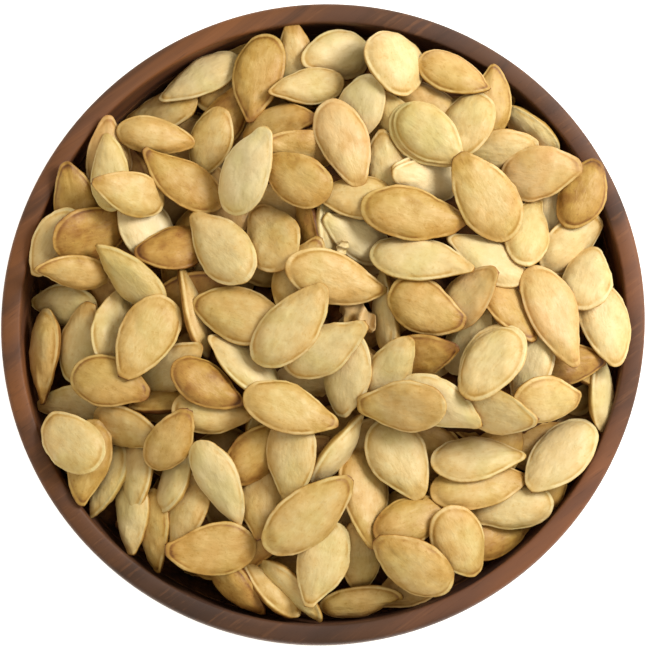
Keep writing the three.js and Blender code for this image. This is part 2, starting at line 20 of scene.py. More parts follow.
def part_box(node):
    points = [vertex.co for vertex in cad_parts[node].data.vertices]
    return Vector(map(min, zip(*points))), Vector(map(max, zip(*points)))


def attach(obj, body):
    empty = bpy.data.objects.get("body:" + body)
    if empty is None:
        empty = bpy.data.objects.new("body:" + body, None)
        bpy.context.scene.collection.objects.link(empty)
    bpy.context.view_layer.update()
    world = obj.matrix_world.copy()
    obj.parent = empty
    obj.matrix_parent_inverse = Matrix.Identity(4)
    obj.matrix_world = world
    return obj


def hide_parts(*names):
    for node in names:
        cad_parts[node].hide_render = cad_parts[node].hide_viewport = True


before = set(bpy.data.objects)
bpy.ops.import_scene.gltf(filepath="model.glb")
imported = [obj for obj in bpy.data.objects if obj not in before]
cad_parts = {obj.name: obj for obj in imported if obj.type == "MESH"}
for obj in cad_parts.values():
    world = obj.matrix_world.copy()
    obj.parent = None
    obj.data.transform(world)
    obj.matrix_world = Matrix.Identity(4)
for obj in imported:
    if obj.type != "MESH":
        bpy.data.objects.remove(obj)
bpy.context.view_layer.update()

log = logging.getLogger("bowl_of_roasted_seeds")

MM = 0.001
BODY = "root"

# ------------------------------------------------------------------------------------------------
# Sizes that the solid model gives
# ------------------------------------------------------------------------------------------------


@dataclass(frozen=True)
class BowlSize:
    """The turned bowl, in millimetres."""

    radius: float = 62.5
    widest_at: float = 38.0
    height: float = 46.0
    rim_width: float = 3.8
    rim_tuck: float = 0.5  # how far the rim draws in from the widest place
    rim_round: float = 1.1  # radius of its outer edge
    rim_break: float = 0.3  # and the break of its inner one
    foot_radius: float = 29.0
    foot_height: float = 2.5
    foot_break: float = 0.6
    floor_thickness: float = 6.5
    fullness: float = 2.5  # over 2, the hollow is fuller than an ellipse
    grain: float = 36.0  # heading of the wood's grain, in degrees
    oval: float = 0.007  # share by which the bowl is longer along the grain and narrower across it

    @property
    def rim_radius(self) -> float:
        """Outer radius of the rim's top."""
        return self.radius - self.rim_tuck

    @property
    def inner_radius(self) -> float:
        """Radius of the hollow at the rim."""
        return self.rim_radius - self.rim_width

    def hollow_height(self, r: np.ndarray) -> np.ndarray:
        """Height of the hollow's surface at a radius.

        Args:
            r: Distances from the bowl's axis.

        Returns:
            Heights over the table, the rim's height from the inner radius outwards.
        """
        depth = self.height - self.floor_thickness
        out = np.minimum(np.asarray(r) / self.inner_radius, 1.0)
        return self.height - depth * (1.0 - out**self.fullness) ** (1.0 / self.fullness)

    def seasoned(self, points: np.ndarray) -> np.ndarray:
        """Stretches points along the grain and draws them in across it, as wood that has dried.

        Args:
            points: Rows of x, y, z.

        Returns:
            The moved points.
        """
        turn = math.radians(self.grain)
        c, s = math.cos(turn), math.sin(turn)
        along = (points[:, 0] * c + points[:, 1] * s) * (1.0 + self.oval)
        across = (points[:, 1] * c - points[:, 0] * s) * (1.0 - self.oval)
        return np.column_stack((along * c - across * s, along * s + across * c, points[:, 2]))


@dataclass(frozen=True)
class HeapSize:
    """The heap's dome and how deep it is filled, in millimetres under that dome."""

    edge_level: float
    inner_radius: float
    crown_height: float = 9.8
    crown_shift: float = 5.0
    bed_depth: float = 16.0
    standing_depth: float = 11.0
    fill_depth: float = 8.0
    candidates: int = 14  # places that are tried for each seed of the fill
    draw: int = 20417  # where the row of random numbers starts

    def dome(self, x: np.ndarray, y: np.ndarray) -> np.ndarray:
        """Height of the dome over places given by x and y."""
        off = np.hypot(x - self.crown_shift, y) / self.inner_radius
        return self.edge_level + self.crown_height * (1.0 - np.minimum(off, 1.0) ** 2)


@dataclass(frozen=True)
class SeedSize:
    """Ranges of a pumpkin seed in its shell, in millimetres."""

    length: tuple[float, float] = (15.5, 20.0)
    slenderness: tuple[float, float] = (0.5, 0.6)
    thickness: tuple[float, float] = (2.8, 3.5)


@dataclass(frozen=True)
class Standing:
    """Seeds that are stood on edge, and how far the upper edge of one may be over the dome."""

    count: int = 14
    roll: tuple[float, float] = (52.0, 76.0)
    showing: float = 0.8
    placed_showing: float = 2.0


@dataclass(frozen=True)
class Settle:
    """How a seed that is let down tips: its slopes change by less and less."""

    steps: int = 34
    first_step: float = 0.14
    last_step: float = 0.006
    steepest: float = 0.6  # rise in each millimetre along x or y


@dataclass(frozen=True)
class PhotoFrame:
    """The photograph's pixel over the bowl's middle, the rim there, and the camera, in millimetres."""

    centre: tuple[float, float] = (323.2, 321.5)
    rim_radius: float = 323.0
    camera_height: float = 700.0
    heap_level: float = 50.0


EDGE_BELOW_RIM = 3.5  # how far below the rim the heap's dome meets the wall
WALL_GAP = 0.3  # the gap between the seeds and the wall
CELL = 0.5  # the side of a cell of the grid that they are laid on
OUTLINE_POINTS = 12


# ------------------------------------------------------------------------------------------------
# The seeds that the photograph shows
# ------------------------------------------------------------------------------------------------


@dataclass(frozen=True)
class Tint:
    """How far a shell is roasted, from 0 to 1, its cast from greenish -1 to pinkish 1, and its scorch."""

    tone: float
    cast: float = 0.0
    scorch: float = 0.2


class Roast(Enum):
    """The tones of the shells, which on some rows below are partly painted light."""

    CREAM = Tint(0.08, scorch=0.0)
    PALE = Tint(0.2, scorch=0.1)
    STRAW = Tint(0.28, scorch=0.15)
    GREEN = Tint(0.28, cast=-1.0, scorch=0.1)
    PINK = Tint(0.34, cast=0.7, scorch=0.3)
    GOLD = Tint(0.38, scorch=0.3)
    AMBER = Tint(0.48, scorch=0.35)
    BROWN = Tint(0.6, scorch=0.5)


class Skin(Enum):
    """How a shell's face came out of the oven: its dents in millimetres and how far it is puffed."""

    SMOOTH = (0.0, 1.0)
    DIMPLED = (0.35, 1.0)
    SHRUNK = (0.75, 0.86)
    PUFFED = (0.15, 1.16)


@dataclass(frozen=True)
class Placed:
    """A seed that the photograph shows: its middle's pixel, its tip's heading in degrees, size and look."""

    px: float
    py: float
    heading: float
    length: float
    width: float
    roast: Roast
    skin: Skin = Skin.SMOOTH
    roll: float = 0.0
    over_rim: float = 0.0
    split: bool = False


CREAM, PALE, STRAW, GREEN = Roast.CREAM, Roast.PALE, Roast.STRAW, Roast.GREEN
PINK, GOLD, AMBER, BROWN = Roast.PINK, Roast.GOLD, Roast.AMBER, Roast.BROWN
DIMPLED, SHRUNK, PUFFED = Skin.DIMPLED, Skin.SHRUNK, Skin.PUFFED

# Each row's roast is partly the shell's own tone and partly painted light: seeds that lie in shade were
# given paler roasts than their own, and some lit ones darker.
ON_EDGE = (
    Placed(172, 402, 6, 17, 8.6, AMBER, roll=-66),
    Placed(193, 311, 107, 18.2, 9, GOLD, roll=72),
    Placed(178, 475, 69, 15.6, 8.5, PALE, roll=-58),
    Placed(310, 225, 100, 15.2, 8.6, BROWN, roll=-76),
    Placed(327, 222, 92, 16.5, 9.5, CREAM, roll=70),
    Placed(337, 450, 51, 15.8, 8.8, PALE, roll=70),
    Placed(388, 315, 96, 17.5, 8.8, PALE, roll=-74),
    Placed(532, 124, 138, 14.8, 8.6, PALE, roll=-58, over_rim=1),
    Placed(603, 390, 92, 16.8, 8.6, PALE, roll=62, over_rim=2),
    Placed(236, 592, 315, 15, 8, BROWN, roll=45),
    Placed(268, 594, 135, 16.8, 8.6, GOLD, roll=62),
)

UPPERMOST = (
    Placed(222, 112, 55, 15.8, 8.4, BROWN),
    Placed(277, 122, 8, 15.6, 8.8, AMBER),
    Placed(208, 138, 250, 15, 8.6, GOLD),
    Placed(298, 149, 170, 15, 8.6, AMBER),
    Placed(292, 50, 95, 15, 8.4, GOLD, over_rim=0.6),
    Placed(566, 366, 5, 15.4, 8.4, BROWN),
    Placed(505, 541, 25, 16, 8.6, BROWN),
    Placed(556, 500, 60, 15, 8.4, BROWN),
    Placed(104, 152, 88, 16, 9, PINK, over_rim=1.2),
    Placed(70, 195, 100, 15.5, 8.5, BROWN, over_rim=1.5),
    Placed(46, 236, 240, 15, 8.5, STRAW, over_rim=0.8),
    Placed(88, 230, 20, 16.5, 11, BROWN, SHRUNK),
    Placed(58, 300, 175, 15.5, 8.5, STRAW),
    Placed(72, 269, 175, 15.5, 7.2, AMBER),
    Placed(80, 342, 80, 16, 9.5, STRAW),
    Placed(112, 324, 80, 15.5, 9, STRAW, SHRUNK),
    Placed(172, 366, 32, 16, 9, STRAW),
    Placed(75, 402, 180, 16.5, 9, STRAW),
    Placed(212, 412, 355, 15.8, 8.5, GOLD),
    Placed(207, 385, 330, 15, 9, BROWN),
    Placed(127, 426, 340, 14.5, 9.2, GOLD, DIMPLED),
    Placed(172, 440, 60, 15, 8.6, AMBER),
    Placed(126, 520, 268, 15.2, 8.2, PALE, roll=38),
    Placed(155, 530, 275, 16.2, 8.6, GOLD, roll=48),
    Placed(187, 512, 255, 15.8, 9.4, GOLD, roll=32),
    Placed(137, 475, 265, 15.5, 8.5, STRAW, roll=48),
    Placed(105, 482, 248, 15.5, 8.5, GREEN, roll=55),
    Placed(262, 500, 270, 15.2, 9, GOLD),
    Placed(258, 452, 40, 15.4, 9.6, BROWN),
    Placed(293, 456, 268, 16.4, 10, STRAW),
    Placed(362, 556, 270, 15.4, 9, GOLD),
    Placed(362, 603, 8, 16, 7, AMBER),
    Placed(292, 590, 317, 16.4, 8.6, STRAW, roll=55),
    Placed(324, 564, 250, 16.8, 10, STRAW),
    Placed(366, 498, 279, 20, 9.8, GOLD, DIMPLED),
    Placed(412, 522, 20, 15.2, 9.2, AMBER),
    Placed(515, 510, 190, 16, 9, STRAW),
    Placed(480, 488, 8, 19, 9.6, GOLD),
    Placed(530, 366, 255, 15.2, 9, PALE),
    Placed(545, 402, 3, 15.4, 9.8, GOLD),
    Placed(470, 340, 60, 15.4, 9.6, PALE),
    Placed(508, 311, 305, 15.4, 9, AMBER),
    Placed(495, 413, 340, 16.4, 9.6, STRAW, DIMPLED),
    Placed(487, 261, 151, 16.4, 9, PALE),
    Placed(560, 205, 90, 14.8, 8.6, CREAM),
    Placed(572, 243, 40, 15.6, 10, STRAW),
    Placed(528, 233, 75, 15.8, 9, STRAW),
    Placed(428, 104, 150, 15, 8.6, AMBER),
    Placed(398, 125, 120, 15, 8.6, STRAW),
    Placed(387, 170, 100, 15.2, 8.6, STRAW),
    Placed(425, 180, 170, 14.8, 8.8, CREAM, split=True),
    Placed(357, 237, 150, 15.6, 8.6, CREAM),
    Placed(355, 198, 180, 14.8, 8.6, GOLD),
    Placed(297, 180, 150, 14.8, 9.6, AMBER),
    Placed(335, 48, 190, 14.2, 9.6, PALE, over_rim=0.8),
    Placed(358, 112, 250, 16.2, 9.6, CREAM),
    Placed(496, 92, 80, 14.8, 8.6, AMBER, DIMPLED, over_rim=1.5),
    Placed(500, 148, 180, 15.2, 9, STRAW),
    Placed(588, 192, 65, 14.2, 9, BROWN, over_rim=3.5),
    Placed(607, 325, 280, 17, 10, STRAW, over_rim=2),
    Placed(468, 300, 45, 15.2, 9.2, PINK, DIMPLED),
    Placed(425, 310, 335, 15.8, 10.2, AMBER),
    Placed(420, 358, 12, 15.4, 9.2, BROWN),
    Placed(390, 372, 60, 15.6, 8.6, PALE),
    Placed(440, 405, 330, 16.6, 9.6, PALE),
    Placed(400, 460, 300, 17.2, 11.2, STRAW),
    Placed(300, 275, 60, 15.2, 9.2, AMBER),
    Placed(272, 238, 120, 17.2, 11, GOLD, SHRUNK),
    Placed(142, 220, 113, 17.2, 10.8, CREAM),
    Placed(172, 247, 187, 14.8, 9, BROWN),
    Placed(245, 366, 140, 17.2, 9.6, PALE),
    Placed(238, 315, 165, 17.6, 10.8, GOLD),
    Placed(348, 375, 260, 16.8, 10.4, PALE),
    Placed(325, 350, 28, 18.2, 9.6, PALE),
    Placed(157, 103, 195, 16, 8.2, GOLD, over_rim=0.8),
    Placed(197, 70, 208, 17.4, 8.6, PALE, PUFFED, over_rim=0.5),
    Placed(153, 132, 352, 15.6, 7.2, GOLD),
    Placed(108, 170, 95, 15.2, 7.6, GREEN),
    Placed(128, 192, 160, 16, 8.5, GOLD, DIMPLED),
    Placed(181, 178, 144, 18.6, 9, AMBER),
    Placed(222, 247, 133, 18.4, 10.8, PALE),
    Placed(130, 274, 138, 17, 8.6, GREEN),
    Placed(38, 352, 268, 18.2, 8.6, GOLD, roll=50, over_rim=0.6),
    Placed(110, 382, 345, 15.6, 9.8, AMBER),
    Placed(147, 336, 240, 17.8, 10.8, GOLD),
    Placed(256, 71, 258, 17.8, 9.8, AMBER, over_rim=0.8),
    Placed(306, 83, 188, 14.6, 7.4, STRAW),
    Placed(393, 62, 283, 14.8, 13, STRAW, PUFFED, over_rim=0.8),
    Placed(343, 143, 290, 17.8, 10, PINK),
    Placed(247, 172, 65, 18.4, 10.4, CREAM),
    Placed(335, 280, 344, 20.4, 10, GOLD),
    Placed(292, 328, 48, 19.8, 10.5, STRAW, PUFFED),
    Placed(290, 410, 340, 18.6, 9.4, GOLD),
    Placed(420, 262, 347, 20.4, 10, PALE),
    Placed(412, 216, 352, 20.6, 10.2, AMBER),
    Placed(403, 408, 180, 17.4, 10.2, GOLD, SHRUNK),
    Placed(466, 127, 250, 14.6, 10.4, STRAW),
    Placed(452, 73, 335, 14.8, 8.6, AMBER),
    Placed(428, 136, 320, 15.6, 10, GREEN, split=True),
    Placed(540, 173, 8, 15.8, 10.4, PINK, DIMPLED),
    Placed(484, 200, 121, 19, 11.4, GOLD),
    Placed(588, 281, 75, 14.4, 9.8, PALE, over_rim=1),
    Placed(552, 318, 292, 20.8, 10.2, PINK),
    Placed(490, 367, 229, 15.8, 11.4, STRAW, split=True),
    Placed(478, 461, 3, 18.2, 9.4, STRAW),
    Placed(563, 458, 222, 17.6, 10.8, PALE, over_rim=1.5),
    Placed(460, 543, 300, 15.4, 10.4, GOLD),
    Placed(417, 570, 144, 18, 10.8, GOLD, PUFFED),
    Placed(310, 516, 43, 21, 11.2, GOLD),
    Placed(221, 482, 297, 19, 8.7, PALE),
    Placed(214, 550, 180, 17.4, 10.4, AMBER, SHRUNK),
    Placed(62, 460, 288, 15.6, 8.8, AMBER),
    Placed(76, 468, 262, 16.6, 8.6, AMBER, over_rim=0.5),
    Placed(72, 443, 140, 14.4, 10.4, STRAW, over_rim=0.5),
)


# ------------------------------------------------------------------------------------------------
# How the seeds come to lie
# ------------------------------------------------------------------------------------------------


class Draw:
    """A row of random numbers that is the same each time."""

    MULTIPLIER = 1664525
    INCREMENT = 1013904223
    MODULUS = 2**32

    def __init__(self, start: int) -> None:
        """Starts the row at a number."""
        self.state = start

    def next(self) -> float:
        """Gives the next number, from 0 up to 1."""
        self.state = (self.MULTIPLIER * self.state + self.INCREMENT) % self.MODULUS
        return self.state / self.MODULUS

    def between(self, span: tuple[float, float]) -> float:
        """Gives a number from a span."""
        return span[0] + (span[1] - span[0]) * self.next()


@dataclass(frozen=True)
class Seed:
    """One seed as it lies: its middle, its tip's heading in radians, its slopes and its size."""

    x: float
    y: float
    heading: float
    length: float
    width: float
    thickness: float
    z: float = 0.0
    slope_x: float = 0.0
    slope_y: float = 0.0

    @property
    def half(self) -> tuple[float, float, float]:
        """Half the length, width and thickness."""
        return self.length / 2, self.width / 2, self.thickness / 2

    def axes(self) -> np.ndarray:
        """Finds the seed's three directions: to its tip, across it, and out of its upper face.

        Returns:
            One row of x, y, z for each direction.
        """
        out = np.array((-self.slope_x, -self.slope_y, 1.0))
        c, s = math.cos(self.heading), math.sin(self.heading)
        along = np.array((c, s, self.slope_x * c + self.slope_y * s))
        out /= math.sqrt(out @ out)
        along /= math.sqrt(along @ along)
        across = (
            out[1] * along[2] - out[2] * along[1],
            out[2] * along[0] - out[0] * along[2],
            out[0] * along[1] - out[1] * along[0],
        )
        return np.array((along, across, out))

    def quadric(self) -> np.ndarray:
        """Gives the matrix of the ellipsoid that stands for the seed while it is laid."""
        axes = self.axes()
        return axes.T @ np.diag([1.0 / half**2 for half in self.half]) @ axes

    def reach_up(self) -> float:
        """How far the seed reaches over its middle."""
        return math.hypot(*(self.axes()[:, 2] * self.half))

    def rolled(self, degrees: float) -> "Seed":
        """Rolls the seed about its length, so that it stands more or less on edge.

        Args:
            degrees: How far it is rolled from lying flat.

        Returns:
            The seed with its new slopes.
        """
        slope = math.tan(math.radians(degrees))
        c, s = math.cos(self.heading), math.sin(self.heading)
        return replace(self, slope_x=-slope * s, slope_y=slope * c)


@dataclass
class Shadow:
    """The cells that a seed covers, and how far under and over its middle its two faces are there."""

    window: tuple[slice, slice]
    hit: np.ndarray
    dx: np.ndarray
    dy: np.ndarray
    under: np.ndarray
    over: np.ndarray


class Surface:
    """What has been laid so far: on each cell of a grid, the highest surface and the seed that it is on."""

    def __init__(self, bowl: BowlSize, heap: HeapSize) -> None:
        """Starts with the bowl's hollow and the bed of the heap in it.

        Args:
            bowl: The bowl.
            heap: The heap's dome and depths.
        """
        self.bowl = bowl
        self.heap = heap
        self.reach = math.ceil(bowl.radius / CELL)
        self.places = (np.arange(2 * self.reach + 1) - self.reach) * CELL
        self.x, self.y = np.meshgrid(self.places, self.places)
        r = np.hypot(self.x, self.y)
        self.inside = r <= bowl.inner_radius
        bed = np.maximum(bowl.hollow_height(r), heap.dome(self.x, self.y) - heap.bed_depth)
        self.height = np.where(self.inside, bed, bowl.height + WALL_GAP)
        self.owner = np.full(self.height.shape, -1)

    def _span(self, middle: float, half: float) -> slice:
        """Finds the rows or columns of the grid within half a length of a place.

        Args:
            middle: The place, in x or in y.
            half: Half the length.

        Returns:
            The slice of them.
        """
        low = max(math.ceil((middle - half) / CELL) + self.reach, 0)
        high = min(math.floor((middle + half) / CELL) + self.reach, 2 * self.reach)
        return slice(low, high + 1)

    def shadow(self, seed: Seed) -> Shadow:
        """Finds the cells that an upright line meets the seed on.

        Args:
            seed: The seed, wherever its middle's height is.

        Returns:
            Its shadow on the grid.
        """
        (xx, xy, xz), (_, yy, yz), (_, _, zz) = seed.quadric()
        window = (self._span(seed.y, seed.length / 2), self._span(seed.x, seed.length / 2))
        dx = self.x[window] - seed.x
        dy = self.y[window] - seed.y
        slant = xz * dx + yz * dy
        inside = slant * slant - zz * (xx * dx * dx + 2 * xy * dx * dy + yy * dy * dy - 1.0)
        hit = inside > 0
        half = np.sqrt(np.where(hit, inside, 0.0)) / zz
        return Shadow(window, hit, dx, dy, -slant / zz - half, -slant / zz + half)

    def stop(self, seed: Seed) -> tuple[float, float, float]:
        """Lets a seed down on what is laid.

        Args:
            seed: The seed, with its slopes.

        Returns:
            The height at which its middle stops, and where it first touches, from its middle.
        """
        shadow = self.shadow(seed)
        z = np.where(shadow.hit, self.height[shadow.window] - shadow.under, -np.inf)
        first = int(z.argmax())
        return float(z.flat[first]), float(shadow.dx.flat[first]), float(shadow.dy.flat[first])

    def room(self, seed: Seed) -> float:
        """Finds how far the surface under a seed lies below the dome.

        Args:
            seed: The seed, wherever its height.

        Returns:
            The average depth.
        """
        shadow = self.shadow(seed)
        window = shadow.window
        deep = self.heap.dome(self.x[window], self.y[window]) - self.height[window]
        return float(deep[shadow.hit].mean())

    def lay(self, seed: Seed, number: int) -> None:
        """Adds a seed to the surface under its number.

        Args:
            seed: The seed as it lies.
            number: Its number.
        """
        shadow = self.shadow(seed)
        height = self.height[shadow.window]
        higher = shadow.hit & (seed.z + shadow.over > height)
        height[higher] = (seed.z + shadow.over)[higher]
        self.owner[shadow.window][higher] = number

    def average_near(self, x: float, y: float, reach: float) -> float:
        """Finds the average height near a place.

        Args:
            x: The place.
            y: The place.
            reach: Half the side of the square that is looked at.

        Returns:
            The height, or the heap's level at the wall if the square is outside the bowl.
        """
        window = (self._span(y, reach), self._span(x, reach))
        near = self.height[window][self.inside[window]]
        return float(near.mean()) if near.size else self.heap.edge_level


class Heap:
    """Lays every seed of the heap, from the bed up, by the solid model's own rule."""

    def __init__(self, bowl: BowlSize, photo: PhotoFrame) -> None:
        """Takes the bowl and the photograph's frame, and lays the seeds.

        Args:
            bowl: The bowl.
            photo: The photograph's frame.
        """
        self.bowl = bowl
        self.photo = photo
        self.size = HeapSize(edge_level=bowl.height - EDGE_BELOW_RIM, inner_radius=bowl.inner_radius)
        self.kind = SeedSize()
        self.standing = Standing()
        self.surface = Surface(bowl, self.size)
        self.seeds: list[Seed] = []
        self.rows: dict[int, Placed] = {}
        self._lay_all()

    def place(self, px: float, py: float) -> tuple[float, float]:
        """Turns a pixel of the photograph to x and y at the heap's level.

        Args:
            px: The pixel from the left.
            py: The pixel from the top.

        Returns:
            The place in millimetres.
        """
        photo = self.photo
        nearer = (photo.camera_height - photo.heap_level) / (photo.camera_height - self.bowl.height)
        scale = nearer * self.bowl.rim_radius / photo.rim_radius
        return (px - photo.centre[0]) * scale, (photo.centre[1] - py) * scale

    def showing(self) -> np.ndarray:
        """How many square millimetres of each seed are seen from above."""
        owner = self.surface.owner
        return np.bincount(owner[owner >= 0], minlength=len(self.seeds)) * CELL**2

    def _keep_inside(self, seed: Seed, over_rim: float = 0.0) -> Seed:
        """Moves a seed towards the middle until its outline is clear of the wall.

        Args:
            seed: The seed.
            over_rim: How far over the wall it may reach.

        Returns:
            The seed in its place.
        """
        limit = self.bowl.inner_radius - WALL_GAP + over_rim
        c, s = math.cos(seed.heading), math.sin(seed.heading)
        over = 0.0
        for i in range(OUTLINE_POINTS):
            turn = 2 * math.pi * i / OUTLINE_POINTS
            along = seed.length / 2 * math.cos(turn)
            across = seed.width / 2 * math.sin(turn)
            x = seed.x + along * c - across * s
            y = seed.y + along * s + across * c
            over = max(over, math.hypot(x, y) - limit)
        r = math.hypot(seed.x, seed.y)
        keep = max(1.0 - over / r, 0.0) if r > 0 else 1.0
        return replace(seed, x=seed.x * keep, y=seed.y * keep)

    def _placed(self, row: Placed) -> Seed:
        """Makes the seed of a row of the photograph.

        Args:
            row: The row.

        Returns:
            The seed, lying flat inside the bowl.
        """
        x, y = self.place(row.px, row.py)
        low, high = self.kind.thickness
        seed = Seed(x, y, math.radians(row.heading), row.length, row.width, (low + high) / 2)
        return self._keep_inside(seed, row.over_rim)

    def _any(self, draw: Draw) -> Seed:
        """Draws a seed at a random place in the bowl.

        Args:
            draw: The random numbers.

        Returns:
            The seed, lying flat.
        """
        length = draw.between(self.kind.length)
        r = self.bowl.inner_radius * math.sqrt(draw.next())
        turn = 2 * math.pi * draw.next()
        heading = 2 * math.pi * draw.next()
        width = length * draw.between(self.kind.slenderness)
        thickness = draw.between(self.kind.thickness)
        return self._keep_inside(
            Seed(r * math.cos(turn), r * math.sin(turn), heading, length, width, thickness)
        )

    def _settled(self, seed: Seed, rule: Settle = Settle()) -> Seed:
        """Lets a seed tip over whatever it touches until its middle can't sink further.

        Args:
            seed: The seed with its first slopes.
            rule: The steps it takes.

        Returns:
            The seed at the lowest height that it came to.
        """
        best = replace(seed, z=math.inf)
        shrink = (rule.last_step / rule.first_step) ** (1.0 / rule.steps)
        step = rule.first_step
        for _ in range(rule.steps):
            z, dx, dy = self.surface.stop(seed)
            if z < best.z:
                best = replace(seed, z=z)
            arm = math.hypot(dx, dy) + CELL / 2
            slope_x = seed.slope_x + step * dx / arm
            slope_y = seed.slope_y + step * dy / arm
            seed = replace(
                seed,
                slope_x=max(-rule.steepest, min(rule.steepest, slope_x)),
                slope_y=max(-rule.steepest, min(rule.steepest, slope_y)),
            )
            step *= shrink
        return best

    def _lay(self, seed: Seed, row: Optional[Placed] = None) -> None:
        """Lays a seed where it is, and keeps the row that it came from.

        Args:
            seed: The seed as it lies.
            row: Its row of the photograph, if it has one.
        """
        number = len(self.seeds)
        self.surface.lay(seed, number)
        self.seeds.append(seed)
        if row:
            self.rows[number] = row

    def _fill_to(self, depth: float, draw: Draw) -> None:
        """Lays seeds until none of a round's places lies deeper than a depth under the dome.

        Args:
            depth: The depth.
            draw: The random numbers.
        """
        while True:
            fits = []
            for _ in range(self.size.candidates):
                seed = self._any(draw)
                rise = self.surface.stop(seed)[0] - float(self.size.dome(seed.x, seed.y))
                if self.surface.room(seed) > depth:
                    fits.append((rise, seed))
            if not fits:
                return
            self._lay(self._settled(min(fits, key=lambda fit: fit[0])[1]))

    def _stand(self, seed: Seed, roll: float, showing: float, row: Optional[Placed] = None) -> None:
        """Stands a seed on edge with its upper edge near the dome.

        Args:
            seed: The seed, lying flat.
            roll: How far it is rolled about its length, in degrees.
            showing: How far its upper edge may be over the dome.
            row: Its row of the photograph, if it has one.
        """
        leaning = seed.rolled(roll)
        highest = float(self.size.dome(seed.x, seed.y)) + showing - leaning.reach_up()
        self._lay(replace(leaning, z=min(self.surface.stop(leaning)[0], highest)), row)

    def _lay_all(self) -> None:
        """Lays the fill, the seeds on edge and the uppermost ones."""
        draw, standing = Draw(self.size.draw), self.standing
        self._fill_to(self.size.standing_depth, draw)
        for _ in range(standing.count):
            seed = self._any(draw)
            self._stand(seed, draw.between(standing.roll), standing.showing)
        self._fill_to(self.size.fill_depth, draw)
        for row in (*ON_EDGE, *UPPERMOST):
            if row.roll:
                self._stand(self._placed(row), row.roll, standing.placed_showing, row)
            else:
                self._lay(self._settled(self._placed(row)), row)


# ------------------------------------------------------------------------------------------------
# Meshes and materials
# ------------------------------------------------------------------------------------------------


def linear(code: str, alpha: float = 1.0) -> tuple[float, float, float, float]:
    """Turns an sRGB hex colour to linear.

    Args:
        code: The colour as #rrggbb.
        alpha: Its fourth number.

    Returns:
        Red, green, blue and alpha.
    """
    parts = [int(code[i : i + 2], 16) / 255 for i in (1, 3, 5)]
    red, green, blue = (p / 12.92 if p <= 0.04045 else ((p + 0.055) / 1.055) ** 2.4 for p in parts)
    return red, green, blue, alpha


def per_mm(size: float) -> float:
    """The scale of a texture in metres whose features are a size in millimetres."""
    return 1.0 / (size * MM)


MIX_FACTOR, MIX_A, MIX_B, MIX_COLOUR = 0, 6, 7, 2
MERGE = 1e-4  # points that are closer than this are one


def add_node(
    tree: bpy.types.NodeTree,
    kind: str,
    inputs: Optional[dict] = None,
    stops: Sequence[tuple[float, str]] = (),
    **settings: object,
) -> bpy.types.Node:
    """Adds a node with its settings and links.

    Args:
        tree: The material's or world's node tree.
        kind: The node's type.
        inputs: A value, or a socket to link from, for each input by name or number.
        stops: A colour ramp's positions and sRGB colours.
        settings: The node's own properties.

    Returns:
        The new node.
    """
    made = tree.nodes.new(kind)
    for name, value in settings.items():
        setattr(made, name, value)
    for key, value in (inputs or {}).items():
        if isinstance(value, bpy.types.NodeSocket):
            tree.links.new(value, made.inputs[key])
        else:
            made.inputs[key].default_value = value
    for i, (position, code) in enumerate(stops):
        ramp = made.color_ramp.elements
        element = ramp[i] if i < len(ramp) else ramp.new(position)
        element.position = position
        element.color = linear(code)
    return made


def new_material(name: str) -> bpy.types.Material:
    """Makes a material whose node tree is empty.

    Args:
        name: The material's name.

    Returns:
        The material.
    """
    made = bpy.data.materials.new(name)
    made.use_nodes = True
    made.node_tree.nodes.clear()
    return made


def new_piece(name: str, mesh: bpy.types.Mesh, material: bpy.types.Material) -> bpy.types.Object:
    """Puts a mesh in the scene as a smooth piece with a material.

    Args:
        name: The piece's name.
        mesh: Its mesh.
        material: Its material.

    Returns:
        The piece.
    """
    mesh.shade_smooth()
    mesh.materials.append(material)
    piece = bpy.data.objects.new(name, mesh)
    bpy.context.scene.collection.objects.link(piece)
    return piece


def finish_bmesh(bm: bmesh.types.BMesh, name: str) -> bpy.types.Mesh:
    """Turns the faces out and writes a bmesh in millimetres as a mesh in metres.

    Args:
        bm: The bmesh, which is freed.
        name: The mesh's name.

    Returns:
        The mesh.
    """
    bmesh.ops.recalc_face_normals(bm, faces=bm.faces)
    bmesh.ops.scale(bm, vec=(MM, MM, MM), verts=bm.verts)
    mesh = bpy.data.meshes.new(name)
    bm.to_mesh(mesh)
    bm.free()
    return mesh


def spun(profile: Iterable[tuple[float, float]], steps: int) -> bmesh.types.BMesh:
    """Spins a profile about the bowl's axis.

    Args:
        profile: Radius and height of each point, from the axis and back to it.
        steps: How many steps make the full turn.

    Returns:
        A closed bmesh in millimetres.
    """
    bm = bmesh.new()
    verts = [bm.verts.new((r, 0.0, z)) for r, z in profile]
    edges = [bm.edges.new(pair) for pair in zip(verts, verts[1:])]
    bmesh.ops.spin(
        bm,
        geom=verts + edges,
        cent=(0, 0, 0),
        axis=(0, 0, 1),
        angle=2 * math.pi,
        steps=steps,
        use_merge=True,
        use_duplicate=False,
    )
    bmesh.ops.remove_doubles(bm, verts=bm.verts, dist=MERGE)
    return bm


def season(bm: bmesh.types.BMesh, bowl: BowlSize) -> None:
    """Gives a bmesh the oval of the seasoned bowl."""
    about = Matrix.Rotation(-math.radians(bowl.grain), 4, "Z")
    bmesh.ops.scale(bm, vec=(1 + bowl.oval, 1 - bowl.oval, 1), space=about, verts=bm.verts)


# ------------------------------------------------------------------------------------------------
# Finishes
# ------------------------------------------------------------------------------------------------


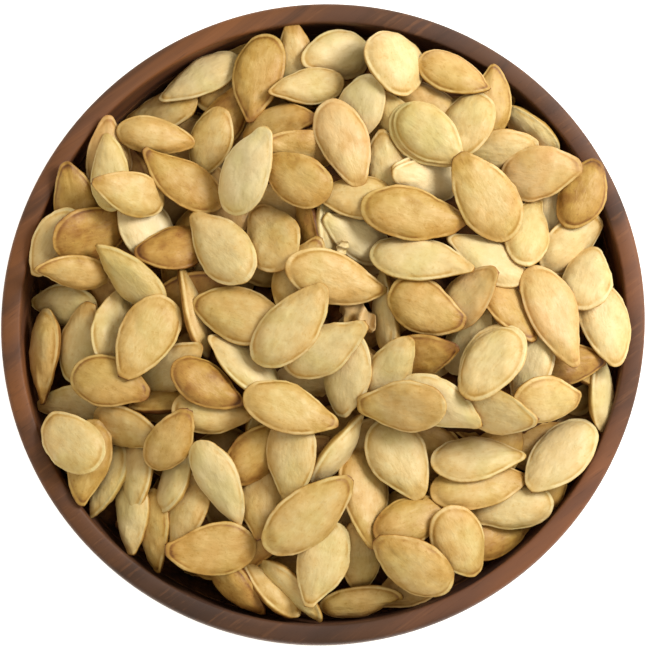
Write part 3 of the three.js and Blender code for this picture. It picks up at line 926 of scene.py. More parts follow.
@dataclass(frozen=True)
class SeedShell:
    """Pumpkin seed shell, dry-roasted.

    The shell is thin wood, dried hard in the oven. It is cream to ochre with a satin sheen, mottled and
    specked where it touched the pan, and browner at its tip and towards its margin. Painted shade darkens
    the faces that slope away to the margin, the groove inside the pale raised line that runs round it,
    and the underside.
    """

    name: str = "pumpkin_shell_dry_roasted"
    stops: tuple[tuple[float, str], ...] = (
        (0.0, "#f1dfb0"),
        (0.25, "#e4cd95"),
        (0.45, "#d4b16e"),
        (0.62, "#be944a"),
        (0.8, "#9e6f30"),
        (1.0, "#6b3f16"),
    )
    # each pattern's size in millimetres, its detail, and how it is scaled along the shell
    patterns: tuple[tuple[str, float, float, float], ...] = (
        ("mottle", 1.9, 4.0, 1.0),
        ("speck", 0.6, 2.0, 1.0),
        ("blotch", 5.5, 2.0, 1.0),
        ("wrinkle", 1.0, 3.0, 0.6),
        ("fibre", 0.35, 2.0, 0.1),
        ("flush", 8.0, 1.0, 1.0),
    )
    # each zone: what it is read from, and the values where it starts and where it is full
    zones: tuple[tuple[str, str, float, float], ...] = (
        ("specked", "speck", 0.58, 0.74),
        ("blotched", "blotch", 0.5, 0.72),
        # patches: where the groove's painted shade and the margin's pale line show
        ("patches", "blotch", 0.6, 0.4),
        ("olive", "flush", 0.48, 0.66),
        ("rosy", "flush", 0.5, 0.32),
        ("towards_tip", "along", 0.6, 1.0),
        ("point", "along", 0.9, 1.03),
        # shoulder browns the shell towards its margin: partly its roast and partly painted shade on the
        # faces that slope away
        ("shoulder", "edge", 0.45, 0.84),
        # into_groove and onto_line bound the groove inside the margin's line, which is darkened there as
        # painted shade
        ("into_groove", "edge", 0.8, 0.87),
        ("onto_line", "edge", 0.88, 0.92),
        ("off_line", "edge", 0.97, 1.01),
    )
    # each product or difference of two of the values above
    joined: tuple[tuple[str, str, str, str], ...] = (
        ("ring", "SUBTRACT", "into_groove", "onto_line"),
        # groove: painted shade in the groove, laid on in patches
        ("groove", "MULTIPLY", "ring", "patches"),
        ("line", "SUBTRACT", "onto_line", "off_line"),
        ("worn_line", "MULTIPLY", "line", "patches"),
        ("toasted", "MULTIPLY", "blotched", "scorch"),
        ("toasted_tip", "MULTIPLY", "towards_tip", "scorch"),
    )
    # how much further each of them roasts the shell; the groove, the shoulder and the underside also stand
    # for painted shade
    weights: tuple[tuple[str, float], ...] = (
        ("mottle", 0.3),
        ("specked", 0.09),
        ("fibre", 0.1),
        ("toasted", 0.34),
        ("toasted_tip", 0.32),
        ("towards_tip", 0.08),
        ("point", 0.24),
        # the shoulder's weight is partly roast and partly painted shade
        ("shoulder", 0.08),
        # the groove's weight darkens it as painted shade
        ("groove", 0.2),
        ("worn_line", -0.12),
        # the underside is darkened here as painted shade
        ("underside_shade", 0.4),
    )
    middle: float = 0.2  # what mottle and fibre add on average
    # each cast: what it is read from, how strong it is, how it is laid on, and its colour
    casts: tuple[tuple[str, float, str, str], ...] = (
        ("cast", 0.3, "MIX", "#dba273"),
        ("cast", -0.18, "MIX", "#d6cb80"),
        ("olive", 0.5, "MULTIPLY", "#f2f6de"),
        ("rosy", 0.4, "MULTIPLY", "#fff1e6"),
    )
    roughness: tuple[float, float] = (0.4, 0.62)
    ior: float = 1.45
    # each relief's pattern, its height in millimetres and its strength
    reliefs: tuple[tuple[str, float, float], ...] = (("wrinkle", 0.2, 0.9), ("fibre", 0.03, 0.7))

    def material(self) -> bpy.types.Material:
        """Builds the material from the shells' own attributes.

        Returns:
            The material.
        """
        made = new_material(self.name)
        tree = made.node_tree
        place, share, roast = (
            add_node(tree, "ShaderNodeAttribute", attribute_name=name).outputs["Vector"]
            for name in ("shell_place", "shell_share", "shell_roast")
        )
        # The third share marks the underside, which is darkened as painted shade.
        split = add_node(tree, "ShaderNodeSeparateXYZ", {0: share}).outputs
        values = dict(zip(("edge", "along", "underside_shade"), split))
        split = add_node(tree, "ShaderNodeSeparateXYZ", {0: roast}).outputs
        values |= zip(("tone", "cast", "scorch"), split)
        for name, size, detail, along in self.patterns:
            drawn = add_node(tree, "ShaderNodeMapping", {0: place, "Scale": (along, 1.0, 1.0)})
            inputs = {"Vector": drawn.outputs[0], "Scale": per_mm(size), "Detail": detail}
            values[name] = add_node(tree, "ShaderNodeTexNoise", inputs).outputs[0]
        for name, source, start, full in self.zones:
            inputs = {"Value": values[source], "From Min": start, "From Max": full}
            step = add_node(tree, "ShaderNodeMapRange", inputs, interpolation_type="SMOOTHSTEP")
            values[name] = step.outputs[0]
        for name, operation, first, second in self.joined:
            inputs = {0: values[first], 1: values[second]}
            values[name] = add_node(tree, "ShaderNodeMath", inputs, operation=operation).outputs[0]

        inputs = {0: values["tone"], 1: self.middle}
        level = add_node(tree, "ShaderNodeMath", inputs, operation="SUBTRACT").outputs[0]
        for name, weight in self.weights:
            inputs = {0: values[name], 1: weight, 2: level}
            level = add_node(tree, "ShaderNodeMath", inputs, operation="MULTIPLY_ADD").outputs[0]
        colour = add_node(tree, "ShaderNodeValToRGB", {0: level}, self.stops).outputs[0]
        for name, strength, blend, code in self.casts:
            inputs = {0: values[name], 1: strength}
            factor = add_node(tree, "ShaderNodeMath", inputs, operation="MULTIPLY", use_clamp=True)
            inputs = {MIX_FACTOR: factor.outputs[0], MIX_A: colour, MIX_B: linear(code)}
            cast = add_node(tree, "ShaderNodeMix", inputs, data_type="RGBA", blend_type=blend)
            colour = cast.outputs[MIX_COLOUR]

        low, high = self.roughness
        inputs = {"Value": values["mottle"], "To Min": low, "To Max": high}
        rough = add_node(tree, "ShaderNodeMapRange", inputs)
        shader_inputs = {"Base Color": colour, "Roughness": rough.outputs[0], "IOR": self.ior}
        for name, height, strength in self.reliefs:
            inputs = {"Height": values[name], "Distance": height * MM, "Strength": strength}
            if "Normal" in shader_inputs:
                inputs["Normal"] = shader_inputs["Normal"]
            shader_inputs["Normal"] = add_node(tree, "ShaderNodeBump", inputs).outputs[0]
        shader = add_node(tree, "ShaderNodeBsdfPrincipled", shader_inputs)
        add_node(tree, "ShaderNodeOutputMaterial", {0: shader.outputs[0]})
        return made


@dataclass(frozen=True)
class OiledWalnut:
    """Walnut, turned, sanded and oiled.

    The bowl was cut from a board whose wood at the heart runs from reddish to dark brown. Its zones are
    laid lighter on the side of the rim towards the soft box and darker on the far side: partly the wood's
    own colour and partly painted light. Growth rings of uneven width and fine dark pores and paler fibres
    lie in line with the grain. The oil leaves a satin gloss.
    """

    grain: float  # heading of the grain, in degrees
    name: str = "walnut_turned_oiled"
    heart: tuple[float, float] = (-30.0, -45.0)
    # each pattern's size in millimetres, its detail, and how it is scaled along the grain
    patterns: tuple[tuple[str, float, float, float], ...] = (
        ("figure", 26.0, 3.0, 0.16),
        ("cloud", 9.0, 4.0, 0.16),
        ("threads", 0.9, 3.0, 0.03),
        ("pores", 0.36, 2.0, 0.035),
    )
    wander: float = 12.0  # how far the figure bends the rings, in millimetres
    ring_mm: float = 3.6
    board_width: float = 150.0
    board_way: tuple[float, float, float] = (-0.5, 1.0, 0.4)  # the heartwood's zones cross the grain
    board_middle: float = 0.5
    # zones of the wood's colour, lighter towards the soft box's side of the rim: partly painted light
    wood_and_light_zones: tuple[tuple[float, str], ...] = (
        (0.0, "#9c5c33"),
        (0.2, "#8c5532"),
        (0.42, "#643e26"),
        (0.72, "#553520"),
        (0.88, "#643c20"),
        (1.0, "#7e4c26"),
    )
    # each stain: its pattern, the values where it starts and is full, its strength and its colour
    stains: tuple[tuple[str, float, float, float, str], ...] = (
        ("cloud", 0.46, 0.68, 0.55, "#402d2c"),
        ("rings", 0.5, 0.74, 0.6, "#2e1a10"),
        ("threads", 0.58, 0.78, 0.34, "#9c6740"),
        ("pores", 0.62, 0.78, 0.4, "#24140b"),
    )
    ring_detail: float = 3.0
    roughness: tuple[float, float] = (0.56, 0.72)
    ior: float = 1.5
    pore_depth: float = 0.04
    pore_strength: float = 0.6

    def material(self) -> bpy.types.Material:
        """Builds the material from Object coordinates turned in line with the grain.

        Returns:
            The material.
        """
        made = new_material(self.name)
        tree = made.node_tree
        place = add_node(tree, "ShaderNodeTexCoord").outputs["Object"]
        turn = (0.0, 0.0, -math.radians(self.grain))
        board = add_node(tree, "ShaderNodeMapping", {0: place, "Rotation": turn}).outputs[0]
        values = {}
        for name, size, detail, along in self.patterns:
            drawn = add_node(tree, "ShaderNodeMapping", {0: board, "Scale": (along, 1.0, 1.0)})
            inputs = {"Vector": drawn.outputs[0], "Scale": per_mm(size), "Detail": detail}
            values[name] = add_node(tree, "ShaderNodeTexNoise", inputs).outputs[0]

        inputs = {0: values["figure"], 1: (0.0, self.wander * MM, self.wander * MM), 2: board}
        bent = add_node(tree, "ShaderNodeVectorMath", inputs, operation="MULTIPLY_ADD").outputs[0]
        off_heart = (0.0, -self.heart[0] * MM, -self.heart[1] * MM)
        inputs = {0: bent, "Location": off_heart, "Scale": (0.0, 1.0, 1.0)}
        from_heart = add_node(tree, "ShaderNodeMapping", inputs).outputs[0]
        distance = add_node(tree, "ShaderNodeVectorMath", {0: from_heart}, operation="LENGTH").outputs[1]
        inputs = {"W": distance, "Scale": per_mm(self.ring_mm), "Detail": self.ring_detail}
        values["rings"] = add_node(tree, "ShaderNodeTexNoise", inputs, noise_dimensions="1D").outputs[0]

        inputs = {0: bent, 1: self.board_way}
        across = add_node(tree, "ShaderNodeVectorMath", inputs, operation="DOT_PRODUCT").outputs[1]
        inputs = {0: across, 1: per_mm(self.board_width), 2: self.board_middle}
        zone = add_node(tree, "ShaderNodeMath", inputs, operation="MULTIPLY_ADD").outputs[0]
        # Zones of wood colour, lighter towards the soft box: partly the wood's own colour and partly
        # painted light.
        colour = add_node(tree, "ShaderNodeValToRGB", {0: zone}, self.wood_and_light_zones).outputs[0]
        for name, start, full, strength, code in self.stains:
            inputs = {"Value": values[name], "From Min": start, "From Max": full, "To Max": strength}
            factor = add_node(tree, "ShaderNodeMapRange", inputs).outputs[0]
            inputs = {MIX_FACTOR: factor, MIX_A: colour, MIX_B: linear(code)}
            colour = add_node(tree, "ShaderNodeMix", inputs, data_type="RGBA").outputs[MIX_COLOUR]

        low, high = self.roughness
        inputs = {"Value": values["cloud"], "To Min": low, "To Max": high}
        rough = add_node(tree, "ShaderNodeMapRange", inputs).outputs[0]
        inputs = {"Height": values["pores"], "Distance": self.pore_depth * MM}
        inputs["Strength"] = self.pore_strength
        relief = add_node(tree, "ShaderNodeBump", inputs, invert=True).outputs[0]
        inputs = {"Base Color": colour, "Roughness": rough, "Normal": relief, "IOR": self.ior}
        shader = add_node(tree, "ShaderNodeBsdfPrincipled", inputs)
        add_node(tree, "ShaderNodeOutputMaterial", {0: shader.outputs[0]})
        return made


@dataclass(frozen=True)
class ShadedFill:
    """Seed dust and shells deep between the seeds: a dull brown, painted dark as shade, as little light
    reaches them.
    """

    name: str = "seed_fill_shaded"
    # dark browns painted as the shade deep between the seeds
    stops: tuple[tuple[float, str], ...] = ((0.35, "#44240a"), (0.7, "#7a4b1a"))
    clump_mm: float = 3.0
    clump_detail: float = 3.0
    clump_height: float = 1.0
    roughness: float = 0.9

    def material(self) -> bpy.types.Material:
        """Builds the material on Object coordinates.

        Returns:
            The material.
        """
        made = new_material(self.name)
        tree = made.node_tree
        place = add_node(tree, "ShaderNodeTexCoord").outputs["Object"]
        inputs = {"Vector": place, "Scale": per_mm(self.clump_mm), "Detail": self.clump_detail}
        clump = add_node(tree, "ShaderNodeTexNoise", inputs).outputs[0]
        colour = add_node(tree, "ShaderNodeValToRGB", {0: clump}, self.stops).outputs[0]
        inputs = {"Height": clump, "Distance": self.clump_height * MM, "Strength": 1.0}
        relief = add_node(tree, "ShaderNodeBump", inputs).outputs[0]
        inputs = {"Base Color": colour, "Roughness": self.roughness, "Normal": relief}
        shader = add_node(tree, "ShaderNodeBsdfPrincipled", inputs)
        add_node(tree, "ShaderNodeOutputMaterial", {0: shader.outputs[0]})
        return made


# ------------------------------------------------------------------------------------------------
# Seeds
# ------------------------------------------------------------------------------------------------


@dataclass(frozen=True)
class ShellForm:
    """The form of a shell as a cage of few faces, in shares of its half length and width, and heights."""

    sides: int = 14
    rings: tuple[tuple[float, float], ...] = ((0.965, 0.5), (0.895, 0.54), (0.79, 1.28), (0.47, 2.15))
    under: tuple[float, float] = (0.76, -1.3)
    grown: tuple[float, float] = (1.09, 1.12)  # the subdivision draws the cage in along and across
    fullness: float = 0.92  # under 1, the outline is fuller than an ellipse
    crowding: float = 0.38  # how much closer the sides are together at the tip
    narrowing: float = 1.3  # how late the sides draw in towards the tip
    outline_wave: float = 0.016
    face_wave: float = 0.15
    tip_flatter: float = 0.2
    arched_from: float = 0.4  # where an arched or bowed shell crosses its own plane
    cupped_from: float = 0.3
    nub_power: int = 6  # how late the point starts towards the tip
    skew_power: int = 4  # and how late the tip turns aside
    usual_thickness: float = 3.15
    dents: int = 4
    upper_from: float = 0.8  # points of the cage over this height are on the upper face
    # the underside found here is darkened by the material as painted shade
    under_below: float = 0.1  # and points below this height are on the underside
    taper: tuple[float, float, float] = (0.14, 0.87, 0.64)  # of a round seed, by slenderness, and at most
    rolled_puff: float = 1.15  # a seed seen on edge shows how thick it is
    lumps: tuple[tuple[str, float, float], ...] = (  # the size and height of what is uneven on a shell
        ("shell_lumps", 5.0, 0.7),
        ("shell_dimples", 1.8, 0.3),
    )


@dataclass(frozen=True)
class ShellSpread:
    """How far one shell may differ from the next."""

    taper: tuple[float, float] = (-0.06, 0.14)  # over the usual narrowing of a seed as slender
    nub: tuple[float, float] = (0.02, 0.1)
    skew: tuple[float, float] = (-0.14, 0.14)
    lopsided: tuple[float, float] = (-0.14, 0.14)
    bow: tuple[float, float] = (-0.5, 0.5)
    arch: tuple[float, float] = (-0.5, 0.35)
    twist: tuple[float, float] = (-0.35, 0.35)
    cup: tuple[float, float] = (-0.3, 0.25)
    puff: tuple[float, float] = (0.9, 1.1)
    # Deeper seeds are darker and redder than the ones above: painted shade and painted warm bounce light
    # over their own random tone.
    lower_tone_and_shade: tuple[float, float] = (0.36, 0.66)  # of the seeds that lie deeper
    lower_cast_and_warm_bounce: tuple[float, float] = (-0.3, 0.8)
    lower_scorch: float = 0.4
    tone: float = 0.02
    waves: tuple[int, ...] = (2, 3, 4, 5)  # how many waves run round a shell
    dent_along: tuple[float, float] = (-0.6, 0.6)
    dent_across: tuple[float, float] = (-0.5, 0.5)
    dent_reach: tuple[float, float] = (0.15, 0.4)
    dent_depth: tuple[float, float] = (0.3, 1.0)
    least_dent: float = 0.08  # in millimetres, on the smoothest shell
    # how sharp the tip may be to its right, in its middle and to its left
    corners: tuple[tuple[float, float, float], ...] = (
        (0.0, 0.6, 0.0),
        (0.6, 0.0, 0.0),
        (0.0, 0.0, 0.6),
        (0.5, 0.0, 0.5),
    )


class ShellCage:
    """The cage that every seed is made from: a disc whose faces are inset ring by ring."""

    def __init__(self, form: ShellForm) -> None:
        """Builds the cage and reads it back as arrays.

        Args:
            form: The form of the shell.
        """
        self.form = form
        bm = self._cage()
        points = np.array([v.co for v in bm.verts])
        self.faces = [[v.index for v in face.verts] for face in bm.faces]
        bm.free()
        self.share = np.hypot(points[:, 0], points[:, 1])
        self.turn = np.arctan2(points[:, 1], points[:, 0])
        self.z = points[:, 2]
        line, groove, shoulder = (share for share, _ in form.rings[:3])
        self.margin = self.share > (line + groove) / 2
        self.belly = self.share < (groove + shoulder) / 2
        self.steps = np.rint(self.turn * form.sides / (2 * math.pi)).astype(int)

    def _cage(self) -> bmesh.types.BMesh:
        """Insets both caps of a thin disc into the rings of a shell.

        Returns:
            The cage as a bmesh.
        """
        form = self.form
        bm = bmesh.new()
        (first, top), (under, bottom) = form.rings[0], form.under
        bmesh.ops.create_cone(
            bm, cap_ends=True, segments=form.sides, radius1=1.0, radius2=first, depth=top
        )
        bmesh.ops.translate(bm, vec=(0.0, 0.0, top / 2), verts=bm.verts)
        flat = math.cos(math.pi / form.sides)  # a side's distance from the middle over a corner's
        caps = [face for face in bm.faces if len(face.verts) == form.sides]
        lower, upper = sorted(caps, key=lambda face: face.calc_center_median().z)
        for (share, height), (next_share, next_height) in zip(form.rings, form.rings[1:]):
            bmesh.ops.inset_individual(
                bm,
                faces=[upper],
                thickness=(share - next_share) * flat,
                depth=next_height - height,
                use_even_offset=True,
            )
        bmesh.ops.inset_individual(
            bm, faces=[lower], thickness=(1.0 - under) * flat, depth=-bottom, use_even_offset=True
        )
        bm.verts.index_update()
        return bm


@dataclass(frozen=True)
class Look:
    """What sets one shell apart from the next, most of it in shares of its size."""

    taper: float
    nub: float
    skew: float
    lopsided: float
    bow: float
    arch: float
    twist: float
    cup: float
    puff: float
    corners: tuple[float, float, float]  # how sharp the tip is to its right, in its middle, to its left
    waves: np.ndarray
    dents: np.ndarray
    tint: Tint
    offset: np.ndarray


class ShellMaker:
    """Shapes each seed's shell from the cage and gathers the shells of a kind in one mesh."""

    def __init__(
        self,
        bowl: BowlSize,
        form: ShellForm = ShellForm(),
        spread: ShellSpread = ShellSpread(),
        start: int = 7,
    ) -> None:
        """Starts the random draw of the looks.

        Args:
            bowl: The bowl, whose oval the heap shares.
            form: The form of a shell.
            spread: How far the shells differ.
            start: The start of the random draw.
        """
        self.bowl = bowl
        self.form = form
        self.spread = spread
        self.cage = ShellCage(form)
        self.random = np.random.default_rng(start)

    def look(self, seed: Seed, row: Optional[Placed]) -> Look:
        """Draws a seed's look.

        Args:
            seed: The seed as it lies.
            row: Its row of the photograph, if it has one.

        Returns:
            The look.
        """
        random, spread = self.random, self.spread
        depth, puff = (row.skin if row else random.choice([Skin.SMOOTH, DIMPLED])).value
        if row:
            tint = row.roast.value
        else:
            # Deeper seeds get darker, redder tints: painted shade and painted warm bounce light.
            tone, cast = random.uniform(*spread.lower_tone_and_shade), random.uniform(*spread.lower_cast_and_warm_bounce)
            tint = Tint(tone, cast, spread.lower_scorch)
        tint = replace(tint, tone=tint.tone + random.normal(0.0, spread.tone))
        count = len(spread.waves)
        phases, sizes = random.uniform(0, 2 * math.pi, count), random.uniform(-1.0, 1.0, count)
        waves = np.column_stack((spread.waves, phases, sizes))
        count = self.form.dents
        spans = (spread.dent_along, spread.dent_across, spread.dent_reach, spread.dent_depth)
        dents = np.column_stack([random.uniform(*span, count) for span in spans])
        dents[:, 3] *= depth + spread.least_dent
        rolled = self.form.rolled_puff if row and row.roll else 1.0
        corners = random.choice(spread.corners)
        round_taper, slender_taper, most_taper = self.form.taper
        taper = min(round_taper + slender_taper * (1.0 - seed.width / seed.length), most_taper)
        return Look(
            taper=taper + random.uniform(*spread.taper),
            nub=random.uniform(*spread.nub),
            skew=random.uniform(*spread.skew),
            lopsided=random.uniform(*spread.lopsided),
            bow=random.uniform(*spread.bow),
            arch=random.uniform(*spread.arch),
            twist=random.uniform(*spread.twist),
            cup=random.uniform(*spread.cup),
            puff=puff * rolled * random.uniform(*spread.puff),
            corners=tuple(corners),
            waves=waves,
            dents=dents,
            tint=tint,
            offset=random.uniform(-1.0, 1.0, 3),
        )

    def shell(self, seed: Seed, look: Look) -> dict[str, np.ndarray]:
        """Shapes one shell.

        Args:
            seed: The seed as it lies.
            look: What sets it apart.

        Returns:
            Its points in metres, and for each its place on the shell in metres, its shares of the way
            to the margin, to the tip and to the underside, which is painted in shade, the shell's roast,
            and how sharp it is.
        """
        cage, form = self.cage, self.form
        turn = cage.turn - form.crowding * np.sin(cage.turn)
        wavy = np.ones_like(turn)
        lift = np.zeros_like(turn)
        for count, phase, size in look.waves:
            wavy += form.outline_wave * size * np.cos(count * cage.turn + phase)
            lift += form.face_wave * size * np.cos(count * cage.turn - phase) * cage.share**2
        c, s = np.cos(turn), np.sin(turn)
        ahead = np.maximum(c, 0.0)
        side = np.sign(s) * np.abs(s) ** form.fullness * (1.0 + look.lopsided * np.sign(s) * c)
        narrowed = side * (1.0 - look.taper * ahead**form.narrowing)
        nub = look.nub * np.sign(s) * ahead**form.nub_power
        tip = nub + look.skew * ahead**form.skew_power
        u = cage.share * wavy * (c - look.skew * s * ahead)
        v = cage.share * wavy * (narrowed + tip)

        z = cage.z * seed.thickness / form.usual_thickness
        z = np.where(cage.belly, z * look.puff * (1.0 - form.tip_flatter * u), z)
        for at_u, at_v, reach, depth in look.dents:
            near = np.exp(-((u - at_u) ** 2 + (v - at_v) ** 2) / (2 * reach**2))
            z -= np.where(cage.z > form.upper_from, depth * near, 0.0)
        arched, cupped = u * u - form.arched_from, v * v - form.cupped_from
        z += lift + look.arch * arched + look.twist * u * v * 2 + look.cup * cupped

        half_length, half_width, _ = seed.half
        x = u * half_length * form.grown[0]
        y = v * half_width * form.grown[1] + look.bow * arched
        place = np.column_stack((x, y, z))
        points = np.array((seed.x, seed.y, seed.z)) + place @ seed.axes()
        # Marks the underside, which the material darkens as painted shade.
        underside_shade = np.where(cage.z > form.under_below, 0.0, 1.0)
        sharp = np.zeros_like(turn)
        for step, sharpness in zip((-1, 0, 1), look.corners):
            sharp[cage.margin & (cage.steps == step)] = sharpness
        return {
            "position": self.bowl.seasoned(points) * MM,
            "shell_place": place * MM + look.offset,
            "shell_share": np.column_stack((cage.share, u, underside_shade)),
            "shell_roast": np.broadcast_to(astuple(look.tint), place.shape),
            "crease_vert": sharp,
        }

    def piece(
        self, name: str, seeds: Sequence[tuple[Seed, Look]], material: bpy.types.Material, levels: int
    ) -> bpy.types.Object:
        """Joins shells in one piece.

        Args:
            name: The piece's name.
            seeds: The seeds and their looks.
            material: The shells' material.
            levels: How often each cage is subdivided.

        Returns:
            The piece.
        """
        shells = [self.shell(seed, look) for seed, look in seeds]
        values = {name: np.concatenate([shell[name] for shell in shells]) for name in shells[0]}
        points = values.pop("position")
        count = len(self.cage.z)
        faces = [[v + i * count for v in face] for i in range(len(shells)) for face in self.cage.faces]
        mesh = bpy.data.meshes.new(name)
        mesh.from_pydata(points.tolist(), [], faces)
        for attribute, rows in values.items():
            kind, field_name = ("FLOAT_VECTOR", "vector") if rows.ndim > 1 else ("FLOAT", "value")
            data = mesh.attributes.new(attribute, kind, "POINT").data
            data.foreach_set(field_name, rows.astype(np.float32).ravel())
        piece = new_piece(name, mesh, material)
        smooth = piece.modifiers.new("rounded", "SUBSURF")
        smooth.levels = smooth.render_levels = levels
        for label, size, height in self.form.lumps:
            lumps = bpy.data.textures.get(label) or bpy.data.textures.new(label, "CLOUDS")
            lumps.noise_scale = size * MM
            uneven = piece.modifiers.new(label, "DISPLACE")
            uneven.texture = lumps
            uneven.strength = height * MM
            uneven.texture_coords = "LOCAL"
        return piece


# ------------------------------------------------------------------------------------------------
# Sub-assemblies
# ------------------------------------------------------------------------------------------------


def stand_in(piece: bpy.types.Object, node: str) -> None:
    """Makes a piece ride on the body in a node's place.

    Args:
        piece: The new piece.
        node: The solid that it stands for.
    """
    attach(piece, BODY)
    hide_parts(node)


@dataclass
class Seeds:
    """The loose seeds that show, sorted by roast into a few pieces."""

    heap: Heap
    least_showing: float = 0.1  # square millimetres that are seen from above of a seed that shows
    well_seen: float = 10.0  # and of one that shows well
    window: float = 3.5  # half the side of the square over which the seeds' surface is averaged
    depth: float = 8.0  # how deep under that a hidden seed is still made
    levels: int = 2
    bed_levels: int = 1
    split_puff: float = 0.5
    split_shift: tuple[float, float, float] = (-0.5, -0.7, -0.8)  # along, across and out, millimetres
    split_grown: tuple[float, float] = (1.03, 1.06)
    finish: SeedShell = field(default_factory=SeedShell)

    PIECES: ClassVar[dict[str, tuple[Roast, ...]]] = {
        "seeds_pale": (CREAM, PALE, GREEN, STRAW),
        "seeds_golden": (PINK, GOLD),
        "seeds_toasted": (AMBER, BROWN),
    }
    LOWER: ClassVar[str] = "seeds_lower"
    BED: ClassVar[str] = "seeds_bed"

    def build(self) -> list[bpy.types.Object]:
        """Builds every piece of seeds.

        Returns:
            The pieces.
        """
        maker = ShellMaker(self.heap.bowl)
        showing = self.heap.showing()
        names = (*self.PIECES, self.LOWER, self.BED)
        kinds: dict[str, list[tuple[Seed, Look]]] = {name: [] for name in names}
        for number, seed in enumerate(self.heap.seeds):
            row = self.heap.rows.get(number)
            look = maker.look(seed, row)
            name = self._piece_of(seed, row, showing[number])
            if name:
                kinds[name].append((seed, look))
            if row and row.split:
                kinds[name].append((self._half_shell(seed), replace(look, puff=self.split_puff)))
        material = self.finish.material()
        pieces = []
        for name, seeds in kinds.items():
            levels = self.bed_levels if name == self.BED else self.levels
            piece = maker.piece(name, seeds, material, levels)
            stand_in(piece, "seeds")
            pieces.append(piece)
        return pieces

    def _piece_of(self, seed: Seed, row: Optional[Placed], showing: float) -> Optional[str]:
        """Picks the piece that a seed belongs to.

        Args:
            seed: The seed as it lies.
            row: Its row of the photograph, if it has one.
            showing: How many square millimetres of it are seen from above.

        Returns:
            The piece's name, or None if the seed lies too deep to be seen from anywhere.
        """
        if row:
            return next(name for name, roasts in self.PIECES.items() if row.roast in roasts)
        if showing > self.least_showing:
            return self.LOWER if showing > self.well_seen else self.BED
        near = self.heap.surface.average_near(seed.x, seed.y, self.window)
        return self.BED if seed.z > near - self.depth else None

    def _half_shell(self, seed: Seed) -> Seed:
        """Makes the lower half of a shell that has sprung open.

        Args:
            seed: The seed as it lies.

        Returns:
            The lower half, a little larger and to one side.
        """
        x, y, z = np.array((seed.x, seed.y, seed.z)) + np.array(self.split_shift) @ seed.axes()
        longer, wider = self.split_grown
        return replace(seed, x=x, y=y, z=z, length=seed.length * longer, width=seed.width * wider)


@dataclass
class SeedBed:
    """The core under the seeds, in the hollow of the bowl, painted dark as shade."""

    heap: Heap
    steps: int = 64
    rings: int = 22
    depth: float = 9.0  # of its top under the seeds' surface
    window: float = 3.5  # half the side of the square over which that is averaged
    brim: float = 0.8  # how far its edge stays off the wall
    finish: ShadedFill = field(default_factory=ShadedFill)

    def build(self) -> bpy.types.Object:
        """Spins the hollow's form and raises its upper side under the seeds.

        Returns:
            The piece.
        """
        bowl = self.heap.bowl
        edge = bowl.inner_radius - self.brim
        radii = [edge * math.sin(math.pi / 2 * i / self.rings) for i in range(self.rings + 1)]
        hollow = [(r, float(bowl.hollow_height(r)) + WALL_GAP) for r in radii]
        cover_level = bowl.height
        cover = [(edge * (self.rings - i) / self.rings, cover_level) for i in range(self.rings + 1)]
        bm = spun(hollow + cover, self.steps)
        for vert in bm.verts:
            if abs(vert.co.z - cover_level) < MERGE:
                near = self.heap.surface.average_near(vert.co.x, vert.co.y, self.window)
                vert.co.z = near - self.depth
        season(bm, bowl)
        piece = new_piece("seed_bed", finish_bmesh(bm, "seed_bed"), self.finish.material())
        stand_in(piece, "seeds")
        return piece


@dataclass(frozen=True)
class Scrap:
    """A scrap of shell: the pixel of its middle, its heading, size, height over the seeds and look."""

    px: float
    py: float
    heading: float
    length: float
    width: float
    lift: float
    tint: Tint


@dataclass(frozen=True)
class Wave:
    """A wave over a scrap: its height, how it turns along and across the scrap, and where it starts."""

    height: float
    along: float
    across: float
    start: float = 0.0

    def at(self, u: float, v: float) -> float:
        """The wave's height at a place along and across the scrap."""
        return self.height * math.sin(self.along * u + self.across * v + self.start)


